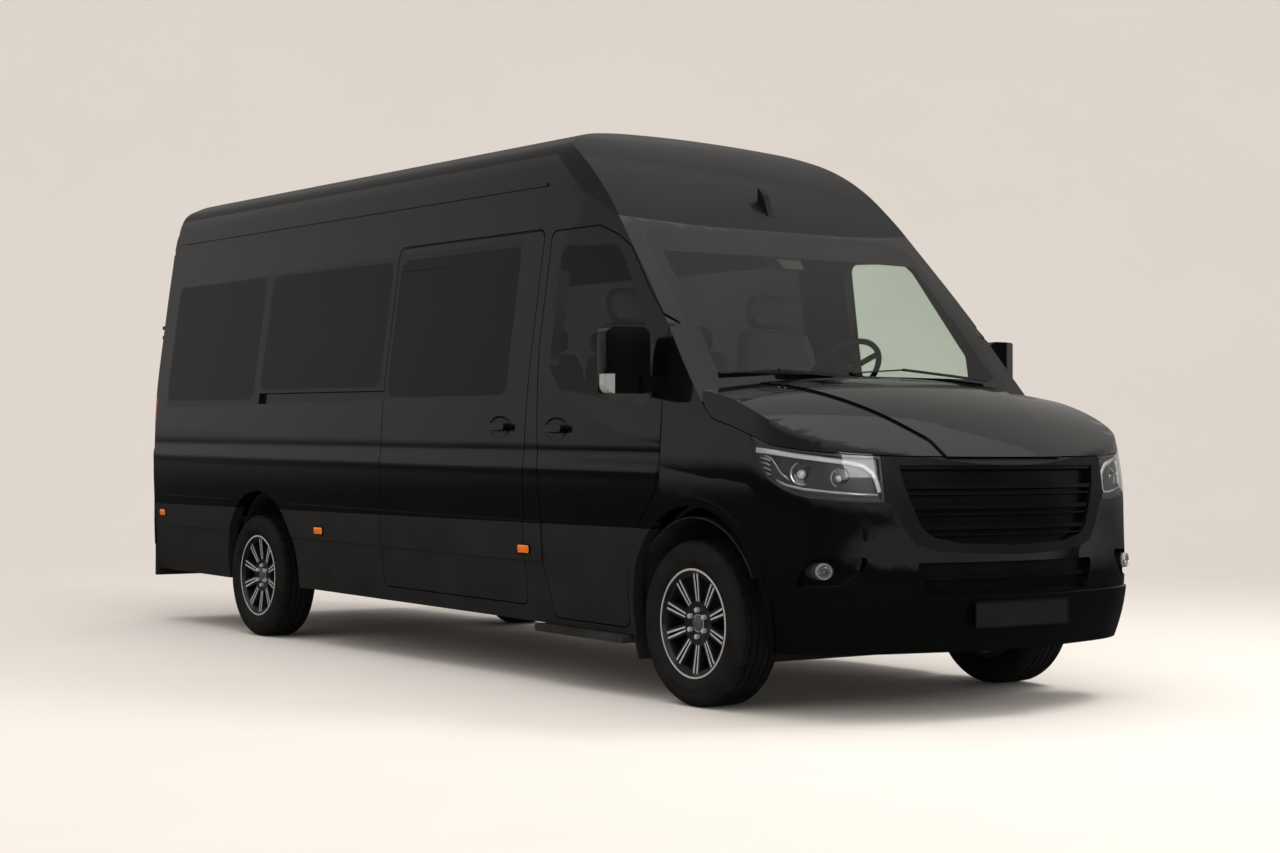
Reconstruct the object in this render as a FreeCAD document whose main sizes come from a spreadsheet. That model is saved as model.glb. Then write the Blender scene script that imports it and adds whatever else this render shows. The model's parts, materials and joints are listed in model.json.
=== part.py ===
import FreeCAD, Part
import math
import os
import re
import Sketcher
from FreeCAD import Rotation, Vector

os.makedirs("parts", exist_ok=True)
doc = FreeCAD.newDocument("minibus")

# Driving dimensions in millimetres. X runs forward, Y to the vehicle's left, Z up.
# The origin lies on the ground below the middle of the vehicle.
# Names that end in _x are measured from the front axle, forward positive.
# Names that end in _y are measured from the middle plane, and names that end in _z from the ground.
SIZES = {
    # whole body
    "wheelbase": 4325, "front_overhang": 1004, "rear_overhang": 1638, "track_width": 1730,
    "body_half_width": 1010, "roof_crown_z": 2700, "sill_z": 270, "body_wall": 55,
    "shut_gap": 6, "close_gap": 0.3, "overrun": 40, "glass_thickness": 8, "skin_depth": 5,
    # screen, fairing and roof
    "plan_radius_screen": 7500, "fairing_end_x": -1750, "screen_foot_x": 110, "screen_foot_z": 1360,
    "screen_head_x": -569, "screen_head_z": 2111, "screen_half_foot": 890, "screen_half_head": 800,
    "screen_corner": 70, "body_base_z": 1270, "roof_seam_z": 2515, "cap_header_z": 2135,
    "cap_notch_x": -1000, "cap_notch_z": 2300, "cap_seam_x": -1300, "tube_front": 150,
    "fin_front_x": -650, "fin_length": 110, "fin_height": 48, "fin_width": 34, "fin_foot_z": 2170,
    # side glass, sliding door and its track
    "glass_rear_x": -5640, "glass_front_x": -1500, "glass_bottom_z": 1350, "glass_top_z": 2075,
    "glass_corner": 60, "mullion": 90, "pane_rear_x": -4310, "pane_mid_x": -2745, "track_pane_z": 1405,
    "slide_front_x": -1300, "slide_rear_x": -2740, "slide_top_z": 2150, "slide_bottom_z": 345,
    "slide_corner": 50, "track_rear_x": -4275, "track_z": 1322, "track_height": 62, "track_depth": 24,
    "roller_arm_length": 70, "roller_arm_height": 34, "roller_arm_inset": 4,
    # raised bands along the sides
    "cladding_low_z": 560, "cladding_high_z": 750, "cladding_proud": 7, "drip_z": 2142,
    "drip_height": 16, "ridge_z": 2360, "ridge_height": 13, "ridge_front_x": -1330,
    "flare_radius": 488, "flare_centre_z": 515, "flare_low_z": 600,
    # front doors and their handles
    "door_rear_x": -1240, "door_front_x": -190, "door_top_z": 2135, "door_bottom_z": 300,
    "door_corner": 45, "pin_clearance": 0.05, "handle_length": 180, "handle_height": 34,
    "handle_proud": 34, "handle_grip": 16, "handle_foot": 26, "door_handle_x": -1033,
    "door_handle_z": 1200, "slide_handle_x": -1537, "slide_handle_z": 1213,
    # rear frame, doors, lamps and bumper
    "rear_frame_x": -5800, "rear_corner_radius": 75, "rear_door_thickness": 50, "rear_door_half": 850,
    "rear_door_bottom_z": 580, "rear_door_top_z": 2500, "rear_corner_in": 8, "rear_corner_run": 600,
    "rear_hinge_radius": 9, "rear_hinge_eye": 18, "rear_hinge_proud": 22, "rear_hinge_out": 4,
    "rear_hinge_height": 90, "rear_hinge_lug": 22, "rear_hinge_low_z": 840, "rear_hinge_high_z": 1860,
    "rear_strap_y": 740, "rear_strap_height": 40, "rear_lug_reach": 60, "rear_glass_bottom_z": 1440,
    "rear_glass_top_z": 2140, "rear_glass_margin": 110, "rear_glass_inner_y": 60,
    "tail_lamp_inner_y": 880, "tail_lamp_low_z": 880, "tail_lamp_high_z": 1440,
    "rear_bumper_top_z": 489.7, "rear_bumper_bottom_z": 290, "rear_bumper_half": 985,
    "rear_bumper_middle": 560, "rear_bumper_knee": 900, "rear_bumper_depth": 60,
    # wheels, brakes, steering
    "tyre_radius": 357, "tyre_width": 235, "tyre_shoulder": 34, "tyre_flank": 50, "tyre_bulge": 4,
    "rim_radius": 237, "rim_flange": 11, "rim_lip": 8, "rim_width": 200, "rim_well": 12,
    "hub_radius": 85, "hub_plane": 45, "dish_inner": 62, "dish_outer": 84, "dish_hub": 70,
    "cap_plane": 66, "window_in": 97, "window_in_half": 8, "window_out": 202, "window_out_half": 38,
    "slot_in": 112, "slot_out": 200, "slot_in_half": 3.5, "slot_out_half": 6,
    "bearing_radius": 30, "disc_radius": 150, "disc_thickness": 26, "disc_plane": 40,
    "disc_hat_radius": 62, "disc_hat_depth": 60, "arch_radius": 475, "arch_front_radius": 480,
    "arch_front_shift": 55, "arch_rear_shift": 85, "arch_centre_z": 385, "arch_lip": 34,
    "steer_offset": 105, "upright_length": 90, "upright_width": 62, "upright_inner": 20,
    "upright_half_height": 118, "stub_inner": 90, "king_pin_radius": 16, "king_pin_half": 152,
    "eye_radius": 36, "eye_height": 30, "eye_low": 150, "eye_high": 120, "arm_width": 80,
    "arm_inner_y": 560, "beam_half_y": 600, "beam_length": 140, "beam_drop": 180, "mount_width": 70,
    "mount_y": 430, "engine_foot_half": 200, "link_height": 33,
    # rear axle, springs and frame
    "axle_tube_radius": 45, "axle_tube_end": 62, "axle_case_radius": 140, "axle_case_half": 130,
    "spring_half": 650, "spring_width": 60, "spring_thickness": 32, "spring_end": 14.7,
    "rail_half_spacing": 430, "rail_width": 70, "rail_bottom_z": 520, "rail_front_x": 740,
    "rail_rear_x": -5760, "crossmember": 60, "cross_low_z": 540, "cross_high_z": 640,
    "front_beam_length": 55, "front_beam_low_z": 500, "front_beam_high_z": 620, "pad_radius": 30,
    "pad_drop": 15, "pad_front_x": -1100, "pad_rear_x": -3300,
    # front end
    "nose_back_x": -185, "nose_wall": 40, "bonnet_radius": 7100, "bonnet_rear_x": 95, "bonnet_gap": 5,
    "bonnet_hinge_z": 1425, "dome_proud": 9, "dome_rear_x": 130, "dome_front_x": 800,
    "dome_rear_half": 700, "dome_front_half": 330, "vent_slot": 9, "vent_pitch": 24, "vent_depth": 14,
    "vent_rear_x": 205, "vent_inner_y": 410, "vent_outer_y": 790, "lamp_inner_y": 632,
    "lens_wall": 6, "lamp_depth": 62, "lamp_margin": 10, "lamp_air": 20, "bowl_large": 50,
    "bowl_small": 40, "bowl_throat": 16, "bowl_depth": 48, "bowl_large_x": 695, "bowl_large_y": 925,
    "bowl_small_x": 788, "bowl_small_y": 795, "bowl_z": 998, "grille_bar": 17, "grille_thin_bar": 8,
    "grille_bar_gap": 17, "grille_bar_depth": 22, "mesh_wall": 5, "mesh_inset": 32, "grille_top_z": 1040,
    "grille_pitch": 84, "grille_end_width": 14, "intake_half": 510, "intake_top_z": 642,
    "intake_bottom_z": 513, "intake_corner": 18, "intake_bar": 12, "lip_top_z": 498, "lip_proud": 9,
    "recess_depth": 30, "fog_radius": 36, "fog_y": 872, "fog_z": 612, "fog_bezel": 8,
    "plate_half": 270, "plate_low_z": 370, "plate_high_z": 478, "plate_thickness": 8, "plate_pad": 45,
    # wipers
    "blade_height": 14, "blade_width": 7, "wiper_arm_width": 12, "wiper_arm_height": 12,
    # interior
    "floor_z": 660, "floor_thickness": 40, "floor_front_x": -60, "panel_sheet": 15,
    "wheel_box_inner_y": 670, "front_box_inner_y": 515, "wheel_box_outer_y": 906, "box_bottom_z": 330,
    "axle_slot_half": 75, "front_slot_z": 500, "rear_slot_z": 420, "firewall_sheet": 15,
    "firewall_half": 505, "shelf_length": 120, "stop_x": 140, "stop_y": 400,
    "stop_radius": 16, "engine_length": 620, "engine_width": 520, "engine_height": 560,
    "engine_bottom_z": 420, "engine_rear_x": -30, "gearbox_length": 590, "gearbox_width": 300,
    "gearbox_bottom_z": 350, "gearbox_top_z": 500, "propshaft_radius": 38, "propshaft_z": 410,
    "radiator_x": 742, "radiator_depth": 42, "radiator_half": 360, "radiator_top_z": 1000,
    "buffer_y": 300, "buffer_radius": 14,
    "dash_rear_x": -560, "dash_bottom_z": 905, "dash_height": 490, "dash_half": 860,
    "wheel_hub_x": -640, "wheel_hub_y": 430, "wheel_hub_z": 1480, "wheel_ring_radius": 195,
    "wheel_ring_thick": 15, "wheel_boss_radius": 50, "wheel_boss_depth": 40, "column_radius": 12,
    "column_length": 330, "wheel_spoke_width": 30, "wheel_spoke_thick": 12,
    # seats
    "seat_x": -1130, "seat_y": 430, "front_seat_width": 500, "seat_width": 450, "seat_depth": 460,
    "cushion_thickness": 120, "seat_height": 400, "back_height": 620, "cabin_back_height": 560,
    "back_thickness": 110, "back_lean": 110, "seat_round": 38, "rest_height": 170,
    "cabin_rest_height": 130, "rest_depth": 90, "rest_width": 260, "plinth_width": 140,
    "plinth_length": 380, "row_pitch": 780, "first_row_x": -2120, "first_single_x": -2900,
    "single_y": -640, "aisle_seat_y": 210, "window_seat_y": 660,
    # mirrors
    "mirror_gap": 12, "mirror_width": 203, "mirror_low_z": 1345, "mirror_high_z": 1635,
    "mirror_rear_x": -370, "mirror_depth": 135, "mirror_round": 38, "mirror_arm_low_z": 1352,
    "mirror_arm_high_z": 1425, "mirror_arm_rear_x": -330, "mirror_arm_front_x": -215,
    "mirror_arm_inner_y": 935,
    # below the floor
    "tank_rear_x": -3000, "tank_front_x": -2000, "tank_inner_y": 480, "tank_outer_y": 860,
    "tank_bottom_z": 400, "tank_round": 50, "pipe_radius": 28, "pipe_y": -290, "pipe_z": 470,
    "pipe_front_x": -700, "pipe_rear_x": -3500, "silencer_radius": 90, "silencer_rear_x": -2500,
    "silencer_front_x": -1800, "step_rear_x": -1200, "step_front_x": -470, "step_inner_y": 880,
    "step_outer_y": 1004, "step_thickness": 36, "flap_x": -4750, "flap_thickness": 8,
    "flap_inner_y": 660, "flap_outer_y": 895, "flap_bottom_z": 195,
}
# The body rises towards its rear by this share of the way back.
rake_share = 0.011

sheet = doc.addObject("Spreadsheet::Sheet", "sizes")
for row, (alias, value) in enumerate(SIZES.items(), start=1):
    sheet.set("A%d" % row, alias)
    sheet.set("B%d" % row, str(value))
    sheet.setAlias("B%d" % row, alias)
doc.recompute()


class Sheet:
    """Reads a size from the sheet by its name."""

    def __getattr__(self, name):
        return float(sheet.get(name))


s = Sheet()
half_length = (s.front_overhang + s.wheelbase + s.rear_overhang) / 2
axle_x = half_length - s.front_overhang
rear_axle_x = axle_x - s.wheelbase
far = half_length + s.overrun
floor_top = s.floor_z + s.floor_thickness
# The same place of the front axle for the expressions that bind sizes to the sheet.
AXLE = "((front_overhang + wheelbase + rear_overhang) / 2 - front_overhang)"
nodes = []
SIDES = ((-1, "right"), (1, "left"))


def ahead(distance):
    """Turns a distance from the front axle into the vehicle's own X."""
    return axle_x + distance


def raked(x, height):
    """A point of the side view; the body rises a little towards its rear."""
    return (x, height + rake_share * max(axle_x - x, 0))


def keep(label, shape):
    """Adds one finished sub-part whose shape was worked out above."""
    piece = doc.addObject("Part::Feature", label)
    piece.Label = label
    piece.Shape = shape
    nodes.append(piece)
    return piece


def sized(text):
    """An expression on the sheet: every word in it is the name of a size."""
    return re.sub(r"([a-z_]+[a-z])", r"sizes.\1", text)


def bind(piece, bindings):
    """Ties properties of an object to expressions on the sheet."""
    for prop, text in bindings.items():
        piece.setExpression(prop, sized(text))
    return piece


def place(piece, x, y, z):
    """Ties an object's place to expressions on the sheet."""
    return bind(piece, {"Placement.Base.x": x, "Placement.Base.y": y, "Placement.Base.z": z})


def bound_box(name, x, y, z, length, width, height):
    """A box whose low corner and sizes are expressions on the sheet."""
    piece = doc.addObject("Part::Box", name)
    bind(piece, {"Length": length, "Width": width, "Height": height})
    return place(piece, x, y, z)


def bound_cylinder(name, axis, x, y, z, radius, length):
    """A cylinder along an axis from the given middle of its low end."""
    piece = doc.addObject("Part::Cylinder", name)
    turns = {"X": Rotation(Vector(0, 1, 0), 90), "Y": Rotation(Vector(1, 0, 0), -90), "Z": Rotation()}
    piece.Placement = FreeCAD.Placement(Vector(), turns[axis])
    bind(piece, {"Radius": radius, "Height": length})
    return place(piece, x, y, z)


def bound_fuse(label, pieces):
    """One solid out of several primitives."""
    joined = doc.addObject("Part::MultiFuse", label)
    joined.Label = label
    joined.Shapes = pieces
    joined.Refine = True
    return joined


def bound_cut(label, base, tool):
    """A piece with another taken out of it."""
    result = doc.addObject("Part::Cut", label)
    result.Label = label
    result.Base = base
    result.Tool = tool
    return result


def new_body(label):
    """An empty body for sketches and the features made from them."""
    body = doc.addObject("PartDesign::Body", label)
    body.Label = label
    return body


def sketch_on(body, name, role):
    """A sketch on one of the body's own origin planes."""
    sketch = body.newObject("Sketcher::SketchObject", name)
    plane = next(f for f in body.Origin.OriginFeatures if f.Role == role)
    sketch.AttachmentSupport = [(plane, "")]
    sketch.MapMode = "FlatFace"
    return sketch


def corner_sketch(body, name, role, corners):
    """A closed outline of straight sides whose corners stand where the expressions say."""
    sketch = sketch_on(body, name, role)
    count = len(corners)
    turn = 2 * math.pi / count
    guess = [Vector(math.cos(i * turn), math.sin(i * turn), 0) * s.overrun for i in range(count)]
    for i in range(count):
        sketch.addGeometry(Part.LineSegment(guess[i], guess[(i + 1) % count]), False)
    for i in range(count):
        sketch.addConstraint(Sketcher.Constraint("Coincident", i, 2, (i + 1) % count, 1))
    for i, (across, up) in enumerate(corners):
        for kind, text, start in (("DistanceX", across, guess[i].x), ("DistanceY", up, guess[i].y)):
            number = sketch.addConstraint(Sketcher.Constraint(kind, -1, 1, i, 1, start))
            sketch.setExpression("Constraints[%d]" % number, sized(text))
    return sketch


def revolve(body, sketch, axis):
    """Turns a sketch once round one of its own axes."""
    feature = body.newObject("PartDesign::Revolution", sketch.Name + "Turned")
    feature.Profile = sketch
    feature.ReferenceAxis = (sketch, [axis])
    feature.Angle = 360
    return feature


def arc_between(start, tangent, end):
    """The arc that leaves start along the tangent and reaches end, or a line where it runs straight."""
    chord = end - start
    square = chord - tangent * chord.dot(tangent)
    if square.Length < chord.Length * 1e-4:
        return Part.LineSegment(start, end).toShape()
    across = square / square.Length
    radius = chord.dot(chord) / (2 * chord.dot(across))
    centre = start + across * radius
    outward = (start + end) / 2 - centre
    middle = centre + outward * (radius / outward.Length)
    return Part.Arc(start, middle, end).toShape()


def smooth_edges(points):
    """A chain of arcs, each tangent to the next, through the points of a plane line."""
    runs = [b - a for a, b in zip(points, points[1:])]
    tangents = []
    for before, after in zip(runs, runs[1:]):
        tangent = before * (after.Length / before.Length) + after * (before.Length / after.Length)
        tangents.append(tangent / tangent.Length)
    first = runs[0] / runs[0].Length
    last = runs[-1] / runs[-1].Length
    tangents.insert(0, first * (2 * tangents[0].dot(first)) - tangents[0])
    tangents.append(last * (2 * tangents[-1].dot(last)) - tangents[-1])
    edges = []
    for i, run in enumerate(runs):
        leave = tangents[i]
        arrive = tangents[i + 1]
        lean = run.dot(leave + arrive)
        spread_out = 2 * (1 - leave.dot(arrive))
        handle = run.dot(run) / (lean + math.sqrt(lean * lean + spread_out * run.dot(run)))
        near = points[i] + leave * handle
        away = points[i + 1] - arrive * handle
        joint = (near + away) / 2
        across = away - near
        edges.append(arc_between(points[i], leave, joint))
        edges.append(arc_between(joint, across / across.Length, points[i + 1]))
    return edges


def face_below(edges, corners):
    """A face under a chain of edges, closed by straight lines through the corners."""
    lines = [Part.LineSegment(a, b).toShape() for a, b in zip(corners, corners[1:]) if (b - a).Length > 1e-6]
    return Part.Face(Part.Wire(edges + lines))


def offset_points(points, distance, normal):
    """Moves the points of an open line square to its run."""
    moved = []
    for i, point in enumerate(points):
        along = points[min(i + 1, len(points) - 1)] - points[max(i - 1, 0)]
        moved.append(point + (along / along.Length).cross(normal) * distance)
    return moved


def rounded_wire(points, radius):
    """A closed wire through the points, its corners rounded."""
    count = len(points)
    ends = []
    for i, corner in enumerate(points):
        before = points[i - 1] - corner
        after = points[(i + 1) % count] - corner
        turn = before.getAngle(after)
        wanted = radius / math.tan(turn / 2)
        room = min(wanted, before.Length * 0.45, after.Length * 0.45)
        if wanted < 1e-6 or abs(turn - math.pi) < 0.02:
            ends.append((corner, corner, None))
            continue
        first = corner + before.normalize() * room
        last = corner + after.normalize() * room
        inward = (before + after).normalize()
        true_radius = room * math.tan(turn / 2)
        middle = corner + inward * (true_radius / math.sin(turn / 2) - true_radius)
        ends.append((first, last, Part.Arc(first, middle, last).toShape()))
    edges = []
    for i, (first, last, arc) in enumerate(ends):
        if arc is not None:
            edges.append(arc)
        following = ends[(i + 1) % count][0]
        if (following - last).Length > 1e-6:
            edges.append(Part.LineSegment(last, following).toShape())
    return Part.Wire(edges)


def side_prism(outline, y_low, y_high, radius=0.0):
    """A prism through the vehicle from a side-view outline of (x, z) points."""
    wire = rounded_wire([Vector(x, y_low, z) for x, z in outline], radius)
    return Part.Face(wire).extrude(Vector(0, y_high - y_low, 0))


def front_prism(outline, x_low, x_high, radius=0.0):
    """A prism along the vehicle from a front-view outline of (y, z) points."""
    wire = rounded_wire([Vector(x_low, y, z) for y, z in outline], radius)
    return Part.Face(wire).extrude(Vector(x_high - x_low, 0, 0))


def plan_prism(outline, z_low, z_high, radius=0.0):
    """A prism upward from a plan outline of (x, y) points."""
    wire = rounded_wire([Vector(x, y, z_low) for x, y in outline], radius)
    return Part.Face(wire).extrude(Vector(0, 0, z_high - z_low))


def block(x_low, x_high, y_low, y_high, z_low, z_high):
    """A rectangular block between the given limits."""
    y_low, y_high = min(y_low, y_high), max(y_low, y_high)
    return Part.makeBox(x_high - x_low, y_high - y_low, z_high - z_low, Vector(x_low, y_low, z_low))


def mirrored(shape):
    """The same shape on the other side of the vehicle."""
    return shape.mirror(Vector(0, 0, 0), Vector(0, 1, 0))


def join_halves(left):
    """A symmetrical piece from its left half."""
    return left.fuse(mirrored(left)).removeSplitter()


def rod(start, end, radius):
    """A round bar between two points."""
    along = end - start
    return Part.makeCylinder(radius, along.Length, start, along)


def box_outline(x_low, x_high, z_low, z_high):
    """A side-view outline with its edges along the rake."""
    return [raked(ahead(x_low), z_low), raked(ahead(x_high), z_low),
            raked(ahead(x_high), z_high), raked(ahead(x_low), z_high)]


def spread(outline, distance):
    """Moves every side of a closed outline outward by the same distance."""
    points = [Vector(x, 0, z) for x, z in outline]
    wire = Part.makePolygon(points + points[:1])
    grown = wire.makeOffset2D(distance, 2, False, False, True)
    return [(v.X, v.Z) for v in grown.OrderedVertexes]


# The section across the body: (share of the half width, share of the crown height).
# The two points near the middle form the hollow swage below the windows.
body_section_shares = [
    (0.955, 0.100), (0.992, 0.260), (1.000, 0.352), (0.9995, 0.378), (0.9915, 0.393), (0.9900, 0.416),
    (0.9870, 0.437), (0.965, 0.537), (0.925, 0.650), (0.855, 0.840), (0.832, 0.896), (0.817, 0.919),
    (0.782, 0.943), (0.693, 0.963), (0.545, 0.980), (0.297, 0.995), (0.0, 1.0)]


def section_prism(inset, x_low, x_high, bottom):
    """The body's section, drawn square to the rake and carried back along it."""
    left = [Vector(x_high, y_share * s.body_half_width, z_share * s.roof_crown_z)
            for y_share, z_share in body_section_shares]
    right = [Vector(x_high, -p.y, p.z) for p in reversed(left[:-1])]
    line = offset_points(left + right, inset, Vector(-1, 0, 0))
    first = line[0]
    last = line[-1]
    corners = [last, Vector(x_high, last.y, bottom), Vector(x_high, first.y, bottom), first]
    face = face_below(smooth_edges(line), corners)
    start = Vector(x_high, 0, 0)
    face.rotate(start, Vector(0, 1, 0), math.degrees(math.atan(rake_share)))
    back = Vector(-1, 0, rake_share)
    back.normalize()
    face.translate(back * -s.overrun)
    length = x_high - x_low + 4 * s.overrun
    return face.extrude(back * length).common(block(x_low, x_high, -far, far, -far, far))


# The middle line from the scuttle over the windscreen and the fairing to the roof:
# (share of the way from the screen's foot to the fairing's end, share of the rise to the crown).
screen_line_shares = [
    (-0.075, -0.115), (0.0, 0.0), (0.180, 0.290), (0.365, 0.561), (0.436, 0.662), (0.570, 0.815),
    (0.731, 0.931), (0.880, 0.993), (1.08, 1.055)]
# How far the curved front reaches to each side of the middle plane, in degrees.
sweep_angle = 11


def fairing_solid(inset):
    """Screen, fairing and roof front, curved in plan about an upright axis far behind."""
    run = s.fairing_end_x - s.screen_foot_x
    rise = s.roof_crown_z - s.screen_foot_z
    line = [Vector(ahead(s.screen_foot_x + run * a), 0, s.screen_foot_z + rise * b)
            for a, b in screen_line_shares]
    line = offset_points(line, inset, Vector(0, 1, 0))
    foot = line[0]
    head = line[-1]
    face = face_below(smooth_edges(line), [head, Vector(head.x, 0, foot.z), foot])
    centre = Vector(ahead(s.screen_foot_x) - s.plan_radius_screen, 0, 0)
    face.rotate(centre, Vector(0, 0, 1), -sweep_angle)
    return face.revolve(centre, Vector(0, 0, 1), 2 * sweep_angle)


def body_solid(inset):
    """The closed outer form of cab and body, or the same form moved inward."""
    rear = ahead(s.rear_frame_x)
    front = ahead(s.screen_foot_x + s.tube_front)
    extra = s.overrun if inset > 0 else 0
    tube = section_prism(inset, rear - extra, front, s.sill_z - extra)
    back = block(rear - 2 * s.overrun, ahead(s.fairing_end_x), -far, far, 0, far)
    lower = block(ahead(s.fairing_end_x) - s.overrun, ahead(s.nose_back_x) + extra,
                  -far, far, 0, s.body_base_z + s.overrun)
    return tube.common(back.fuse([lower, fairing_solid(inset)]))


def side_layer(outer_inset, inner_inset):
    """A layer of the body's section alone, between two depths below the surface."""
    rear = ahead(s.rear_frame_x)
    front = ahead(s.screen_foot_x)
    full = section_prism(outer_inset, rear, front, s.sill_z)
    return full.cut(section_prism(inner_inset, rear - s.overrun, front + s.overrun, s.sill_z - s.overrun))


# Front door outline: (share of the way from rear edge to front edge, share of the door's height).
door_outline_shares = [
    (0.0, 1.0), (0.0, 0.70), (0.045, 0.45), (0.085, 0.24), (0.085, 0.14), (0.16, 0.0),
    (0.745, 0.0), (0.755, 0.145), (0.83, 0.24), (0.90, 0.285), (0.975, 0.335), (1.0, 0.41),
    (1.0, 0.735), (0.83, 0.825), (0.66, 0.935), (0.555, 0.968), (0.39, 1.0)]
# Front door glass, in the same shares.
door_glass_shares = [
    (0.105, 0.955), (0.105, 0.645), (0.205, 0.585), (0.86, 0.535), (0.92, 0.56), (0.905, 0.685),
    (0.60, 0.915), (0.53, 0.945)]


def door_points(shares):
    """Side-view points of the front door from a table of shares."""
    run = s.door_front_x - s.door_rear_x
    rise = s.door_top_z - s.door_bottom_z
    return [raked(ahead(s.door_rear_x + run * a), s.door_bottom_z + rise * b) for a, b in shares]


outer = body_solid(0)
shell = outer.cut(body_solid(s.body_wall))
glass_shell = outer.cut(body_solid(s.glass_thickness))
side_shell = side_layer(0, s.body_wall)
side_glass_shell = side_layer(0, s.glass_thickness)
raised_shell = side_layer(-s.cladding_proud, s.skin_depth)
rear_limit = s.rear_frame_x - 4 * s.overrun

front_door_hole = door_points(door_outline_shares)
front_door_leaf = spread(front_door_hole, -s.shut_gap)
slide_hole = box_outline(s.slide_rear_x, s.slide_front_x, s.slide_bottom_z, s.slide_top_z)
slide_leaf = spread(slide_hole, -s.shut_gap)
rear_pane = (s.glass_rear_x, s.pane_rear_x - s.mullion / 2, s.glass_bottom_z)
track_pane = (s.pane_rear_x + s.mullion / 2, s.pane_mid_x - s.mullion / 2, s.track_pane_z)
plain_pane = (s.pane_rear_x + s.mullion / 2, s.pane_mid_x - s.mullion / 2, s.glass_bottom_z)
front_pane = (s.pane_mid_x + s.mullion / 2, s.glass_front_x, s.glass_bottom_z)
panes = {-1: [rear_pane, track_pane], 1: [rear_pane, plain_pane, front_pane]}


def pane_outline(limits, shrink):
    """A side pane's outline, smaller by the seat it stands in."""
    return box_outline(limits[0] + shrink, limits[1] - shrink, limits[2] + shrink, s.glass_top_z - shrink)


def screen_outline(shrink):
    """The windscreen's outline seen from the front."""
    half_foot = s.screen_half_foot - shrink
    half_head = s.screen_half_head - shrink
    foot = s.screen_foot_z + shrink
    head = s.screen_head_z - shrink
    return [(-half_foot, foot), (half_foot, foot), (half_head, head), (-half_head, head)]


def screen_prism(shrink):
    """Everything ahead of the cab that lies inside the windscreen's outline."""
    return front_prism(screen_outline(shrink), ahead(s.screen_head_x - 2 * s.overrun),
                       ahead(s.screen_foot_x) + far, s.screen_corner)


def arch_hole(x, radius, side):
    """A wheel arch opening through one side of the body."""
    return Part.makeCylinder(radius, far, Vector(x, 0, s.arch_centre_z), Vector(0, side, 0))


def side_half(side):
    """All of one side of the vehicle behind the cab's rear seam."""
    return block(ahead(rear_limit), ahead(s.cap_seam_x), 0, side * far, -far, far)


def raised_bands(side):
    """Lower cladding, drip ridge, upper ridge and rear arch flare of one side."""
    lines = [box_outline(s.glass_rear_x, s.door_front_x, s.cladding_low_z, s.cladding_high_z),
             box_outline(s.glass_rear_x - s.overrun, s.door_rear_x, s.drip_z, s.drip_z + s.drip_height),
             box_outline(s.glass_rear_x - s.overrun, s.ridge_front_x, s.ridge_z, s.ridge_z + s.ridge_height)]
    bands = [side_prism(line, 0, side * far) for line in lines]
    centre = Vector(rear_axle_x + s.arch_rear_shift, 0, s.flare_centre_z)
    flare = Part.makeCylinder(s.flare_radius, far, centre, Vector(0, side, 0))
    above = block(centre.x - far, centre.x + far, 0, side * far, s.flare_low_z, far)
    bands.append(flare.common(above))
    return raised_shell.common(bands[0].fuse(bands[1:]))


bands_of = {side: raised_bands(side) for side in (-1, 1)}


def handle(x, height, side):
    """A bar handle that stands off the door on a foot at each end."""
    x = ahead(x)
    half = s.handle_length / 2
    surface = side_layer(-s.handle_proud, s.skin_depth)
    bar = side_prism([(x - half, height - s.handle_height / 2), (x + half, height - s.handle_height / 2),
                      (x + half, height + s.handle_height / 2), (x - half, height + s.handle_height / 2)],
                     0, side * far, s.handle_height / 2)
    grip = side_layer(s.handle_grip - s.handle_proud, s.skin_depth * 2)
    grip_room = block(x - half + s.handle_foot, x + half - s.handle_foot, 0, side * far, 0, far)
    return surface.common(bar).cut(grip.common(grip_room))


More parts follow.
